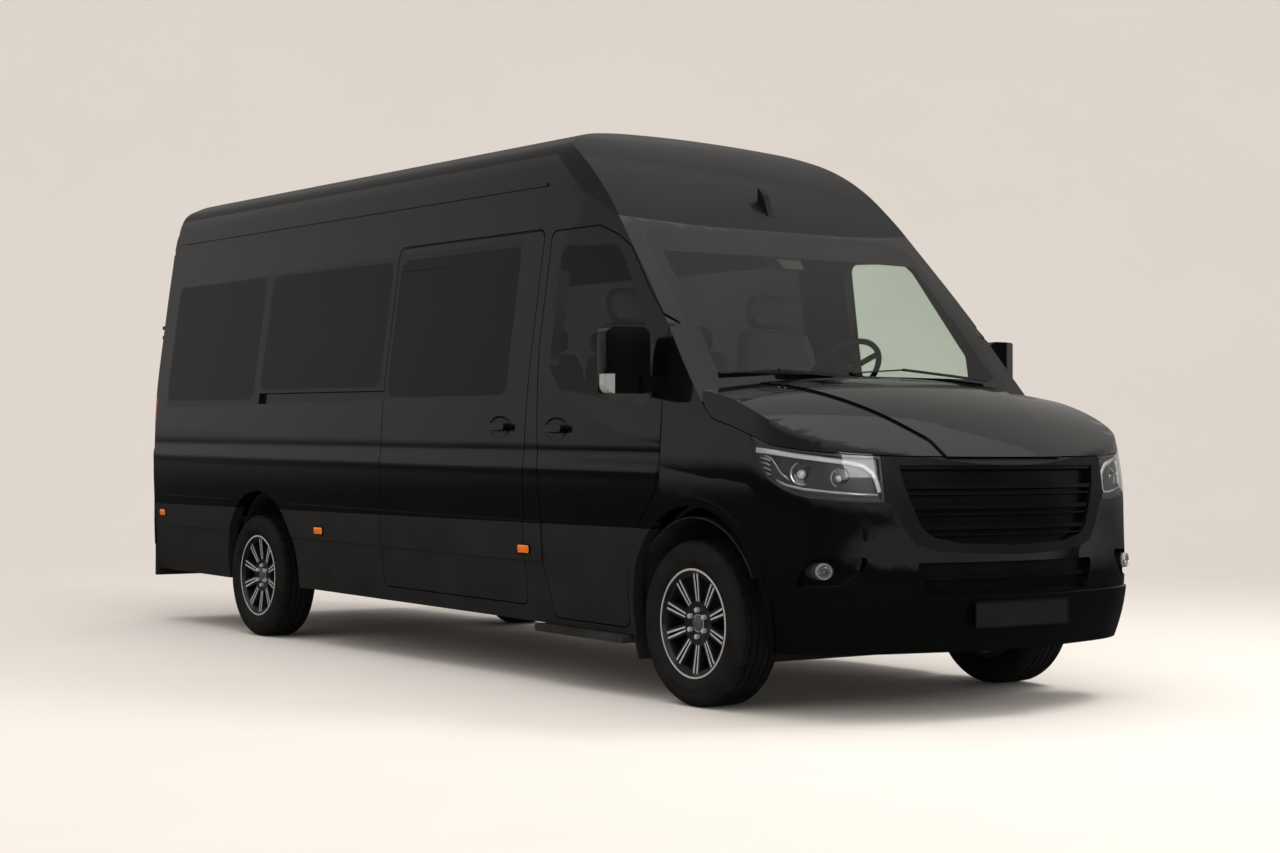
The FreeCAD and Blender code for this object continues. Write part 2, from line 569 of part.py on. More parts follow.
def build_body_shell():
    """Splits the shell of cab and body where the real panels meet."""
    top_edge = [raked(ahead(rear_limit), s.roof_seam_z), raked(ahead(s.cap_seam_x), s.roof_seam_z),
                raked(ahead(s.cap_notch_x), s.cap_notch_z),
                raked(ahead(s.screen_head_x) - s.overrun, s.cap_header_z),
                raked(ahead(s.screen_foot_x), s.cap_header_z)]
    roof_zone = top_edge + [(ahead(s.screen_foot_x), far), (ahead(rear_limit), far)]
    roof_all = side_prism(roof_zone, -far, far)
    cab_zone = block(ahead(s.cap_seam_x), ahead(s.screen_foot_x) + far, -far, far, -far, far)
    roof_shell = shell.common(roof_all)
    keep("roof_panel", roof_shell.cut(cab_zone))
    fin_x = ahead(s.fin_front_x)
    fin = side_prism([(fin_x, s.fin_foot_z), (fin_x - s.fin_length, s.fin_foot_z + s.fin_length),
                      (fin_x - s.fin_length, s.fin_foot_z + s.fin_length + 2 * s.fin_height),
                      (fin_x - s.fin_length * 0.62, s.fin_foot_z + s.fin_length + s.fin_height)],
                     -s.fin_width / 2, s.fin_width / 2, s.fin_height / 8)
    keep("roof_cap", roof_shell.common(cab_zone).fuse(fin.cut(body_solid(s.body_wall))).removeSplitter())
    walls = shell.cut(roof_all)
    below = block(ahead(s.nose_back_x) - s.shut_gap / 2, ahead(s.screen_foot_x) + far, -far, far,
                  -far, s.body_base_z)
    cuts = [screen_prism(0), below]
    cuts += [arch_hole(ahead(s.arch_front_shift), s.arch_front_radius, side) for side in (-1, 1)]
    cuts += [side_prism(front_door_hole, side * s.body_half_width * 0.7, side * far, s.door_corner)
             for side in (-1, 1)]
    frame = walls.common(cab_zone)
    frame = frame.fuse([bands_of[side].common(cab_zone) for side in (-1, 1)]).cut(cuts)
    bonnet_room = nose_solid(s.nose_wall + s.close_gap)
    stops = []
    for side in (-1, 1):
        room = bonnet_room if side > 0 else mirrored(bonnet_room)
        foot = Vector(ahead(s.stop_x), side * s.stop_y, s.body_base_z)
        stops.append(rod(foot, foot + Vector(0, 0, far), s.stop_radius).common(room))
    keep("cab_frame", frame.fuse(stops))
    rear_walls = walls.cut(cab_zone)
    arch_x = rear_axle_x + s.arch_rear_shift
    for side, word in SIDES:
        cuts = [arch_hole(arch_x, s.arch_radius, side)]
        cuts += [side_prism(pane_outline(limits, 0), 0, side * far, s.glass_corner) for limits in panes[side]]
        if side < 0:
            cuts.append(side_prism(slide_hole, 0, side * far, s.slide_corner))
            groove = side_layer(-s.overrun, s.track_depth)
            cuts.append(groove.common(side_prism(
                box_outline(s.track_rear_x, s.slide_rear_x, s.track_z, s.track_z + s.track_height),
                0, side * far)))
        panel = rear_walls.common(side_half(side)).fuse(bands_of[side].common(side_half(side)))
        keep("side_" + word, panel.cut(cuts))
    glass = []
    for side in (-1, 1):
        for limits in panes[side]:
            prism = side_prism(pane_outline(limits, s.close_gap), 0, side * far, s.glass_corner)
            glass.append(glass_shell.common(prism))
    keep("side_glass", Part.makeCompound(glass))
    keep("windscreen", glass_shell.common(screen_prism(s.close_gap)))


def build_sliding_door():
    """The sliding door stands in the right side, shut, its roller arm in the track."""
    prism = side_prism(slide_leaf, 0, -far, s.slide_corner)
    leaf = side_shell.common(prism).fuse(bands_of[-1].common(prism))
    leaf = leaf.cut(side_prism(pane_outline(front_pane, 0), 0, -far, s.glass_corner))
    x, z = raked(ahead(s.slide_rear_x), s.track_z + (s.track_height - s.roller_arm_height) / 2)
    arm_layer = side_layer(s.roller_arm_inset, s.track_depth - s.close_gap)
    arm = arm_layer.common(block(x - s.roller_arm_length, x + s.shut_gap * 2, 0, -far, z,
                                 z + s.roller_arm_height))
    leaf = leaf.fuse([arm, handle(s.slide_handle_x, s.slide_handle_z, -1)])
    keep("sliding_door", leaf)
    pane = side_prism(pane_outline(front_pane, s.close_gap), 0, -far, s.glass_corner)
    keep("sliding_door_glass", glass_shell.common(pane))


def build_front_doors():
    """Front doors with their glass, drawn on the left and mirrored to the right."""
    prism = side_prism(front_door_leaf, 0, far, s.door_corner)
    leaf = side_shell.common(prism).common(outer).fuse(bands_of[1].common(prism))
    leaf = leaf.cut(side_prism(door_points(door_glass_shares), 0, far, s.door_corner))
    leaf = leaf.fuse(handle(s.door_handle_x, s.door_handle_z, 1))
    pane = side_prism(spread(door_points(door_glass_shares), -s.close_gap), 0, far, s.door_corner)
    pane = side_glass_shell.common(pane)
    keep("front_door_right", mirrored(leaf))
    keep("front_door_glass_right", mirrored(pane))
    keep("front_door_left", leaf)
    keep("front_door_glass_left", pane)


# The nose in plan: (share of its reach ahead of the front axle, share of its half width).
nose_plan_shares = [
    (0.457, 1.0), (0.610, 0.985), (0.707, 0.942), (0.790, 0.848), (0.866, 0.703), (0.923, 0.505),
    (0.980, 0.259), (1.0, 0.0)]
# The nose in height: (share of the bonnet's height, share of the front overhang, share of the half width).
nose_height_shares = [
    (0.190, 0.925, 0.955), (0.250, 0.960, 0.967), (0.315, 0.984, 0.977), (0.450, 0.984, 0.992),
    (0.560, 0.970, 0.998), (0.665, 0.958, 1.0), (0.745, 0.938, 0.995), (0.850, 0.895, 0.985),
    (1.0, 0.80, 0.965)]
# The bonnet's middle line: (share of the front overhang ahead of the axle, share of the hinge's height).
bonnet_line_shares = [
    (-0.35, 1.03), (0.05, 1.003), (0.30, 0.972), (0.55, 0.905), (0.75, 0.825), (0.87, 0.768),
    (0.95, 0.725), (1.02, 0.67)]


def bonnet_form(inset):
    """All that lies below the bonnet's crowned top."""
    line = [Vector(ahead(s.front_overhang * a), 0, s.bonnet_hinge_z * b) for a, b in bonnet_line_shares]
    line = offset_points(line, -inset, Vector(0, 1, 0))
    corners = [line[-1], Vector(line[-1].x, 0, -s.overrun), Vector(line[0].x, 0, -s.overrun), line[0]]
    face = face_below(smooth_edges(line), corners)
    centre = Vector(0, 0, s.bonnet_hinge_z - s.bonnet_radius)
    face.rotate(centre, Vector(1, 0, 0), -sweep_angle)
    return face.revolve(centre, Vector(1, 0, 0), 2 * sweep_angle)


nose_solids = {}


def nose_solid(inset):
    """The left half of wings, bumper and bonnet at a depth below the surface, made once for each depth."""
    if inset not in nose_solids:
        nose_solids[inset] = make_nose_solid(inset)
    return nose_solids[inset]


def make_nose_solid(inset):
    """The closed left half of wings, bumper and bonnet up to the bonnet's top surface."""
    rings = []
    extra = s.overrun if inset > 0 else 0
    back = ahead(s.nose_back_x) - extra
    for z_share, reach_share, width_share in nose_height_shares:
        height = z_share * s.bonnet_hinge_z
        if z_share == nose_height_shares[0][0]:
            height -= extra
        reach = reach_share * s.front_overhang - inset
        half = width_share * s.body_half_width - inset
        left = [Vector(ahead(reach * a), half * b, height) for a, b in nose_plan_shares]
        right = [Vector(p.x, -p.y, p.z) for p in reversed(left[:-1])]
        curve = Part.BSplineCurve()
        curve.interpolate(Points=left + right, InitialTangent=Vector(1, 0, 0), FinalTangent=Vector(-1, 0, 0))
        corners = [right[-1], Vector(back, right[-1].y, height), Vector(back, left[0].y, height), left[0]]
        lines = [Part.LineSegment(a, b).toShape() for a, b in zip(corners, corners[1:])]
        rings.append(Part.Wire([curve.toShape()] + lines))
    body = Part.makeLoft(rings, True, False)
    left_half = block(back - s.overrun, ahead(s.front_overhang) + s.overrun, 0, far, 0, far)
    return body.common(left_half).common(bonnet_form(inset))


def nose_layer(outer_inset, inner_inset):
    """A layer of the nose's left half between two depths below the surface."""
    return nose_solid(outer_inset).cut(nose_solid(inner_inset))


def layer_in(zone, outer_inset, inner_inset):
    """The part of such a layer that lies in a zone."""
    return nose_solid(outer_inset).common(zone).cut(nose_solid(inner_inset).common(zone))


# The bonnet's shut line in the side view: (share of the front overhang, share of the hinge's height).
bonnet_shut_shares = [
    (0.055, 0.925), (0.12, 0.898), (0.175, 0.864), (0.32, 0.839), (0.47, 0.808), (0.56, 0.785),
    (0.80, 0.757), (1.10, 0.740)]
# The split between wing and bumper, then the lamp's lower edge, in the same shares.
bumper_top_shares = [
    (0.20, 0.530), (0.385, 0.535), (0.47, 0.543), (0.54, 0.576), (0.615, 0.638), (0.622, 0.662)]
lamp_low_shares = [
    (0.442, 0.790), (0.49, 0.735), (0.545, 0.693), (0.62, 0.663), (0.70, 0.638), (0.80, 0.627),
    (0.90, 0.622), (1.10, 0.620)]
# The grille's opening and the surround's outer edge from the front: (share of the half width, share of height).
grille_hole_shares = [(0.0, 0.497), (0.30, 0.505), (0.417, 0.522), (0.471, 0.551), (0.505, 0.608),
                      (0.540, 0.673), (0.553, 0.724), (0.553, 0.729)]
surround_shares = [(0.0, 0.469), (0.213, 0.474), (0.401, 0.482), (0.498, 0.503), (0.546, 0.545),
                   (0.594, 0.608), (0.606, 0.6225), (0.6255, 0.6225), (0.6255, 0.80)]
# The corners of the fog lamp's recess in the same shares.
recess_shares = [(0.800, 0.388), (0.945, 0.383), (0.935, 0.421), (0.905, 0.463), (0.700, 0.470),
                 (0.722, 0.434)]


def above(shares, rise):
    """Everything above a side-view line of shares, moved up by the given rise."""
    points = [(ahead(s.front_overhang * a), s.bonnet_hinge_z * b + rise) for a, b in shares]
    return side_prism([(points[0][0], far)] + points + [(points[-1][0], far)], -far, far)


def bonnet_zone(rise):
    """Everything above the bonnet's shut line and ahead of its rear edge."""
    points = [(ahead(s.front_overhang * a), s.bonnet_hinge_z * b + rise) for a, b in bonnet_shut_shares]
    rear = ahead(s.bonnet_rear_x) + rise
    points[0] = (rear, points[0][1])
    return side_prism([(rear, far)] + points + [(points[-1][0], far)], -far, far)


def half_front_prism(shares, shrink, radius):
    """A prism forward from the left half of a front-view outline, with its top closed."""
    points = [(s.body_half_width * a, s.bonnet_hinge_z * b) for a, b in shares]
    points = [(max(y - shrink, -s.overrun), z) for y, z in points]
    outline = [(-s.overrun, points[0][1] + shrink), (points[0][0], points[0][1] + shrink)] + points[1:]
    outline.append((-s.overrun, points[-1][1]))
    return front_prism(outline, ahead(s.front_overhang * 0.6), ahead(s.front_overhang) + far, radius)


def dome_tool():
    """A wedge-shaped block with sloping flanks that marks the bonnet's raised middle."""
    rear = ahead(s.dome_rear_x)
    front = ahead(s.dome_front_x)

    def ring(half_extra, height):
        rear_half = s.dome_rear_half + half_extra
        front_half = s.dome_front_half + half_extra
        points = [Vector(rear, -rear_half, height), Vector(front, -front_half, height),
                  Vector(front + s.front_overhang, -front_half, height),
                  Vector(front + s.front_overhang, front_half, height),
                  Vector(front, front_half, height), Vector(rear, rear_half, height)]
        return Part.makePolygon(points + points[:1])
    return Part.makeLoft([ring(0, far), ring(0, s.sill_z)], True, True)


def build_nose():
    """Bonnet, wings, bumper, lamps and grille from one shell, drawn as the left half."""
    wall = nose_layer(0, s.nose_wall)
    proud = nose_layer(-s.lip_proud, s.skin_depth)
    arch = arch_hole(ahead(s.arch_front_shift), s.arch_front_radius, 1)
    arch_band = arch_hole(ahead(s.arch_front_shift), s.arch_front_radius + s.arch_lip, 1).cut(arch)
    back = ahead(s.front_overhang * 0.6)
    front = ahead(s.front_overhang) + far

    bonnet = wall.common(bonnet_zone(s.bonnet_gap))
    dome = nose_layer(-s.dome_proud, s.skin_depth).common(bonnet_zone(s.bonnet_gap)).common(dome_tool())
    bonnet = bonnet.fuse(dome)
    slots = []
    for i in range(5):
        x = ahead(s.vent_rear_x) + i * s.vent_pitch
        slots.append(block(x, x + s.vent_slot, s.vent_inner_y, s.vent_outer_y, 0, far))
    slot_layer = bonnet_form(-s.overrun).cut(bonnet_form(s.vent_depth - s.dome_proud))
    bonnet = bonnet.cut(slots[0].fuse(slots[1:]).common(slot_layer))
    keep("bonnet", join_halves(bonnet))

    rest = wall.cut(bonnet_zone(0)).cut(arch)
    lamp_side = above(lamp_low_shares, 0)
    outboard = block(-far, far, s.lamp_inner_y, far, -far, far)
    lamp_zone = lamp_side.common(outboard)
    bumper_line = [(ahead(s.front_overhang * a), s.bonnet_hinge_z * b) for a, b in bumper_top_shares]
    bumper_side = side_prism(bumper_line + [(front, bumper_line[-1][1]), (front, -far),
                                            (bumper_line[0][0], -far)], -far, far)
    bumper_side = bumper_side.fuse(block(bumper_line[-1][0], front, -far, far, s.sill_z,
                                         s.bonnet_hinge_z * bonnet_shut_shares[-2][1]))
    surround_zone = half_front_prism(surround_shares, 0, 0)
    grille_hole = half_front_prism(grille_hole_shares, 0, 0)
    intake_line = [(-s.overrun, s.intake_bottom_z), (s.intake_half * 0.9, s.intake_bottom_z),
                   (s.intake_half, s.intake_top_z), (-s.overrun, s.intake_top_z)]
    intake_hole = front_prism(intake_line, back, front, s.intake_corner)
    recess_line = [(s.body_half_width * a, s.bonnet_hinge_z * b) for a, b in recess_shares]
    recess = front_prism(recess_line, back, front, s.intake_corner)
    lip_band = block(back, front, -far, far, 0, s.lip_top_z)

    raised = proud.common(arch_band.fuse(lip_band.cut(arch_hole(ahead(s.arch_front_shift),
                                                                  s.arch_front_radius + s.arch_lip, 1))))
    raised = raised.cut(bonnet_zone(-s.overrun))
    bumper_shell = rest.fuse(raised.cut(arch))
    bumper = bumper_shell.common(bumper_side).cut([lamp_zone, surround_zone, intake_hole])
    bumper = bumper.cut(recess.common(nose_layer(-s.overrun, s.recess_depth)))
    pad_front = ahead(s.front_overhang) - s.plate_thickness
    plate_pad = block(pad_front - s.plate_pad, pad_front, -s.overrun, s.plate_half - s.plate_thickness,
                      s.plate_low_z + s.plate_thickness, s.plate_high_z - s.plate_thickness)
    plate = block(pad_front - s.skin_depth, ahead(s.front_overhang), -s.overrun, s.plate_half,
                  s.plate_low_z, s.plate_high_z)
    left = block(-far, far, 0, far, -far, far)
    bumper = bumper.fuse([plate_pad.cut(nose_solid(s.nose_wall / 2)), plate]).common(left)
    keep("front_bumper", join_halves(bumper))

    wing = bumper_shell.cut([bumper_side, lamp_zone, surround_zone])
    scuttle = block(-far, ahead(s.bonnet_rear_x) + 2 * s.overrun, -far, far, s.body_base_z - s.close_gap, far)
    wing = wing.cut(scuttle)
    keep("wing_left", wing)
    keep("wing_right", mirrored(wing))

    lamp_zone = lamp_zone.cut(bonnet_zone(0))
    lens = layer_in(lamp_zone, 0, s.lens_wall)
    keep("headlamps", Part.makeCompound([mirrored(lens), lens]))
    surround = rest.common(surround_zone).cut([grille_hole])
    keep("grille_surround", join_halves(surround))
    build_lamp_units(lamp_zone, recess)
    build_grille(grille_hole, intake_hole)


def build_lamp_units(lamp_zone, recess):
    """Behind each lens a block with two bowls, and in each recess a round fog lamp."""
    unit = layer_in(lamp_zone, s.lens_wall + s.close_gap, s.lamp_depth)
    inner = above(lamp_low_shares, s.lamp_margin).cut(bonnet_zone(-s.lamp_margin))
    inner = inner.common(block(-far, far, s.lamp_inner_y + s.lamp_margin, far, -far, far))
    unit = unit.cut(layer_in(inner, 0, s.lamp_air))
    for x, y, radius in ((s.bowl_large_x, s.bowl_large_y, s.bowl_large),
                         (s.bowl_small_x, s.bowl_small_y, s.bowl_small)):
        outward = Vector(y / s.body_half_width, x / s.front_overhang * 0.6, 0)
        outward.normalize()
        mouth = Vector(ahead(x), y, s.bowl_z) - outward * (s.lamp_air / 2)
        unit = unit.cut(Part.makeCone(radius, s.bowl_throat, s.bowl_depth, mouth, outward * -1))
    fog = rod(Vector(ahead(0), s.fog_y, s.fog_z), Vector(ahead(s.front_overhang), s.fog_y, s.fog_z), s.fog_radius)
    fog = layer_in(fog.common(recess), s.fog_bezel, s.recess_depth - s.close_gap)
    keep("lamp_units", Part.makeCompound([unit, mirrored(unit), fog, mirrored(fog)]))


def build_grille(grille_hole, intake_hole):
    """Three double bars that follow the nose, tied at their ends, before a dark mesh."""
    left = block(-far, far, 0, far, -far, far)
    mesh_back = s.mesh_inset + s.mesh_wall
    tie_front = s.lens_wall + s.grille_bar_depth / 2
    zone = half_front_prism(grille_hole_shares, s.close_gap, 0).common(left).cut(bonnet_zone(-s.close_gap))
    core = half_front_prism(grille_hole_shares, s.grille_end_width, 0)
    bands = []
    for i in range(3):
        top = s.grille_top_z - s.grille_bar_gap - (i + 1) * s.grille_pitch + s.grille_pitch / 4
        bands.append(block(-far, far, -far, far, top - s.grille_bar, top))
        low = top - s.grille_bar - s.grille_bar_gap
        bands.append(block(-far, far, -far, far, low - s.grille_thin_bar, low))
    bands.append(block(-far, far, -far, far, s.grille_top_z - s.grille_bar, far))
    layer = layer_in(zone, s.lens_wall, s.lens_wall + s.grille_bar_depth)
    bars = [layer.common(band) for band in bands]
    ties = layer_in(zone, tie_front, mesh_back).cut(core)
    net = layer_in(zone, s.mesh_inset, mesh_back)
    upper = net.fuse(bars + [ties])
    intake_zone = intake_hole.common(block(-far, far, 0, s.intake_half, s.intake_bottom_z + s.close_gap,
                                           s.intake_top_z - s.close_gap))
    middle = (s.intake_top_z + s.intake_bottom_z) / 2
    rail = block(-far, far, -far, far, middle - s.intake_bar / 2, middle + s.intake_bar / 2)
    lower = layer_in(intake_zone, s.mesh_inset, mesh_back)
    lower = lower.fuse(layer_in(intake_zone, tie_front, mesh_back).common(rail))
    keep("grille", Part.makeCompound([join_halves(upper), join_halves(lower)]))


# Each wiper in the front view: pivot, blade middle and blade ends, as shares of the screen's foot width and height.
wiper_shares = [((-0.10, 0.085), (-0.585, 0.124), (-0.930, 0.097), (-0.235, 0.112)),
                ((0.83, 0.092), (0.235, 0.146), (-0.125, 0.117), (0.600, 0.120))]


def build_wipers():
    """Two wipers parked on the glass; blade and arm both follow its curve."""
    rise = s.screen_head_z - s.screen_foot_z
    fairing = {depth: fairing_solid(-depth) for depth in
               (s.close_gap, s.blade_height, s.blade_height - s.close_gap, s.blade_height + s.wiper_arm_height)}
    blade_layer = fairing[s.blade_height].cut(fairing[s.close_gap])
    arm_layer = fairing[s.blade_height + s.wiper_arm_height].cut(fairing[s.blade_height - s.close_gap])

    def strip(start, end, width):
        """An upright strip in the front view between two points, as wide as given."""
        a = Vector(0, start[0] * s.screen_half_foot, s.screen_foot_z + rise * start[1])
        b = Vector(0, end[0] * s.screen_half_foot, s.screen_foot_z + rise * end[1])
        along = (b - a).normalize()
        side = Vector(0, -along.z, along.y) * (width / 2)
        corners = [a - side, b - side, b + side, a + side]
        return front_prism([(p.y, p.z) for p in corners], ahead(s.screen_head_x / 2), ahead(s.screen_foot_x) + far)
    pieces = []
    for pivot, middle, tip, heel in wiper_shares:
        blade = blade_layer.common(strip(tip, middle, s.blade_width).fuse(strip(middle, heel, s.blade_width)))
        arm = arm_layer.common(strip(pivot, middle, s.wiper_arm_width))
        pieces.append(blade.fuse(arm))
    keep("wipers", Part.makeCompound(pieces))


def build_tyre(word, x, side):
    """A tyre turned about the axle, its beads between the rim's flanges."""
    body = new_body("tyre_" + word)
    seat = "rim_radius - rim_flange + close_gap"
    bead = "rim_width / 2 - rim_lip - close_gap"
    half = [("%s" % seat, bead), ("rim_radius + close_gap * 10", bead),
            ("rim_radius + tyre_flank", "tyre_width / 2"),
            ("tyre_radius - tyre_shoulder", "tyre_width / 2 - tyre_bulge"),
            ("tyre_radius", "tyre_width / 2 - tyre_shoulder")]
    corners = half + [(r, "-(%s)" % a) for r, a in reversed(half)]
    revolve(body, corner_sketch(body, "TyreSection" + word, "XY_Plane", corners), "V_Axis")
    put_on_axle(body, x, side)


def put_on_axle(body, x, side):
    """Places a body that was drawn about its own Y axis at one end of an axle."""
    if side < 0:
        body.Placement = FreeCAD.Placement(Vector(), Rotation(Vector(0, 0, 1), 180))
    place(body, x, "%d * track_width / 2" % side, "tyre_radius")
    nodes.append(body)


def build_rim(word, x, side):
    """A cast rim: barrel, dished face, ten windows and a slot down each of the ten spokes."""
    body = new_body("rim_" + word)
    seat = "rim_radius - rim_flange"
    bore = "rim_radius - rim_flange - rim_well"
    half = "rim_width / 2"
    corners = [("0", "hub_plane"), ("hub_radius", "hub_plane"), (bore, "dish_inner"), (bore, "-" + half),
               ("rim_radius", "-" + half), ("rim_radius", "rim_lip - " + half), (seat, "rim_lip - " + half),
               (seat, half + " - rim_lip"), ("rim_radius", half + " - rim_lip"), ("rim_radius", half),
               (seat + " - rim_well / 3", half), (bore, "dish_outer"), ("hub_radius", "dish_hub"),
               ("0", "cap_plane")]
    turned = revolve(body, corner_sketch(body, "RimSection" + word, "XY_Plane", corners), "V_Axis")
    openings = (("Window", 0, [("window_in", "-window_in_half"), ("window_out", "-window_out_half"),
                               ("window_out", "window_out_half"), ("window_in", "window_in_half")]),
                ("Slot", 18, [("slot_in", "-slot_in_half"), ("slot_out", "-slot_out_half"),
                              ("slot_out", "slot_out_half"), ("slot_in", "slot_in_half")]))
    before = turned
    for name, turn, outline in openings:
        sketch = corner_sketch(body, name + "Outline" + word, "XZ_Plane", outline)
        sketch.AttachmentOffset = FreeCAD.Placement(Vector(), Rotation(Vector(0, 0, 1), turn))
        pocket = body.newObject("PartDesign::Pocket", name + word)
        pocket.Profile = sketch
        pocket.Type = 1
        pocket.Midplane = True
        ring = body.newObject("PartDesign::PolarPattern", name + "Ring" + word)
        ring.Originals = [pocket]
        ring.Axis = (sketch, ["N_Axis"])
        ring.Angle = 360
        ring.Occurrences = 10
        body.Tip = ring
        before = ring
    put_on_axle(body, x, side)


def build_disc(word, x, side):
    """Brake disc and hub in one turned piece round the stub."""
    body = new_body("brake_disc_" + word)
    bore = "bearing_radius + pin_clearance"
    corners = [(bore, "-disc_hat_depth"), ("disc_hat_radius", "-disc_hat_depth"),
               ("disc_hat_radius", "-disc_plane"), ("disc_radius", "-disc_plane"),
               ("disc_radius", "disc_thickness - disc_plane"),
               ("disc_hat_radius", "disc_thickness - disc_plane"),
               ("disc_hat_radius", "hub_plane - close_gap"), (bore, "hub_plane - close_gap")]
    revolve(body, corner_sketch(body, "DiscSection" + word, "XY_Plane", corners), "V_Axis")
    put_on_axle(body, x, side)


def build_knuckle(side, word):
    """The upright that the front wheel turns on, hung between two eyes on its upright pin."""
    pin_y = "%d * (track_width / 2 - steer_offset)" % side
    low_y = pin_y + (" - upright_inner" if side > 0 else " + upright_inner - upright_width")
    upright = bound_box("Upright" + word, AXLE + " - upright_length / 2", low_y,
                        "tyre_radius - upright_half_height", "upright_length", "upright_width",
                        "2 * upright_half_height")
    stub_low = "track_width / 2 - stub_inner" if side > 0 else "-(track_width / 2 + hub_plane - close_gap)"
    stub = bound_cylinder("Stub" + word, "Y", AXLE, stub_low, "tyre_radius", "bearing_radius",
                          "stub_inner + hub_plane - close_gap")
    pin = bound_cylinder("KingPin" + word, "Z", AXLE, pin_y, "tyre_radius - king_pin_half",
                         "king_pin_radius", "2 * king_pin_half")
    nodes.append(bound_fuse("knuckle_" + word, [upright, stub, pin]))


def build_front_subframe():
    """The crossmember below the engine with the arms whose eyes hold the steering pins."""
    pieces = [bound_box("Beam", AXLE + " - beam_length / 2", "-beam_half_y", "tyre_radius - beam_drop",
                        "beam_length", "2 * beam_half_y", "beam_drop - upright_half_height"),
              bound_box("EngineFoot", AXLE + " - beam_length / 2", "-engine_foot_half",
                        "tyre_radius - upright_half_height - close_gap", "beam_length",
                        "2 * engine_foot_half", "engine_bottom_z - tyre_radius + upright_half_height")]
    bores = []
    for side, word in SIDES:
        pin_y = "%d * (track_width / 2 - steer_offset)" % side
        arm_low = "arm_inner_y" if side > 0 else "-(track_width / 2 - steer_offset)"
        for level, rise in (("Low", "-eye_low"), ("High", "eye_high")):
            name = level + word
            z = "tyre_radius + %s" % rise
            pieces.append(bound_box("Arm" + name, AXLE + " - arm_width / 2", arm_low, z, "arm_width",
                                    "track_width / 2 - steer_offset - arm_inner_y", "eye_height"))
            pieces.append(bound_cylinder("Eye" + name, "Z", AXLE, pin_y, z, "eye_radius", "eye_height"))
            bores.append(bound_cylinder("Bore" + name, "Z", AXLE, pin_y, z + " - close_gap",
                                        "king_pin_radius + pin_clearance", "eye_height + 2 * close_gap"))
        mount_low = "mount_y - mount_width / 2" if side > 0 else "-(mount_y + mount_width / 2)"
        pieces.append(bound_box("Mount" + word, AXLE + " - beam_length / 2", mount_low,
                                "tyre_radius - upright_half_height - close_gap", "beam_length", "mount_width",
                                "rail_bottom_z - tyre_radius + upright_half_height"))
        link_low = "mount_y - mount_width / 2" if side > 0 else "-beam_half_y"
        pieces.append(bound_box("Link" + word, AXLE + " - arm_width / 2", link_low,
                                "tyre_radius + eye_high - eye_height", "arm_width",
                                "beam_half_y - mount_y + mount_width / 2", "link_height"))
    solid = bound_fuse("SubframeSolid", pieces)
    holes = bound_fuse("SubframeBores", bores)
    nodes.append(bound_cut("front_subframe", solid, holes))


def build_rear_axle():
    """A live axle: tube, final drive case, and a stub for each wheel."""
    axle = AXLE + " - wheelbase"
    tube = bound_cylinder("AxleTube", "Y", axle, "axle_tube_end - track_width / 2", "tyre_radius",
                          "axle_tube_radius", "track_width - 2 * axle_tube_end")
    stubs = bound_cylinder("AxleStubs", "Y", axle, "close_gap - track_width / 2 - hub_plane", "tyre_radius",
                           "bearing_radius", "track_width + 2 * hub_plane - 2 * close_gap")
    case = bound_cylinder("AxleCase", "X", axle + " - axle_case_half", "0", "tyre_radius",
                          "axle_case_radius", "2 * axle_case_half")
    nodes.append(bound_fuse("rear_axle", [tube, stubs, case]))


def build_leaf_springs():
    """One curved leaf pack below each rail, resting on the axle."""
    springs = []
    for side in (-1, 1):
        y = side * s.rail_half_spacing
        x = rear_axle_x
        base = s.tyre_radius + s.axle_tube_radius + s.close_gap
        top = s.rail_bottom_z - s.close_gap
        low = top - s.spring_end
        ends = [Vector(x - s.spring_half, y, top), Vector(x + s.spring_half, y, top),
                Vector(x + s.spring_half, y, low), Vector(x - s.spring_half, y, low)]
        upper = Part.Arc(ends[0], Vector(x, y, base + s.spring_thickness), ends[1]).toShape()
        under = Part.Arc(ends[2], Vector(x, y, base), ends[3]).toShape()
        face = Part.Face(Part.Wire([upper, Part.LineSegment(ends[1], ends[2]).toShape(), under,
                                    Part.LineSegment(ends[3], ends[0]).toShape()]))
        face.translate(Vector(0, -s.spring_width / 2, 0))
        springs.append(face.extrude(Vector(0, s.spring_width, 0)))
    keep("leaf_springs", Part.makeCompound(springs))


# Crossmembers of the frame: shares of the way from the front axle to the frame's rear end.
crossmember_shares = (0.955, 0.677, 0.469, 0.260)


def build_chassis():
    """Two long rails with crossmembers, the front beam and the four jacking pads."""
    top = s.floor_z - s.close_gap
    parts = []
    for side in (-1, 1):
        y = side * s.rail_half_spacing
        parts.append(block(ahead(s.rail_rear_x), ahead(s.rail_front_x), y - s.rail_width / 2,
                           y + s.rail_width / 2, s.rail_bottom_z, top))
        for x in (s.pad_front_x, s.pad_rear_x):
            parts.append(rod(Vector(ahead(x), y, s.rail_bottom_z - s.pad_drop),
                             Vector(ahead(x), y, s.rail_bottom_z + s.skin_depth), s.pad_radius))
    for share in crossmember_shares:
        x = ahead(s.rail_rear_x * share)
        parts.append(block(x - s.crossmember / 2, x + s.crossmember / 2, -s.rail_half_spacing,
                           s.rail_half_spacing, s.cross_low_z, s.cross_high_z))
    beam_x = ahead(s.rail_front_x) - s.skin_depth
    parts.append(block(beam_x, beam_x + s.front_beam_length, -s.beam_half_y, s.beam_half_y,
                       s.front_beam_low_z, s.front_beam_high_z))
    keep("chassis_rails", parts[0].fuse(parts[1:]))


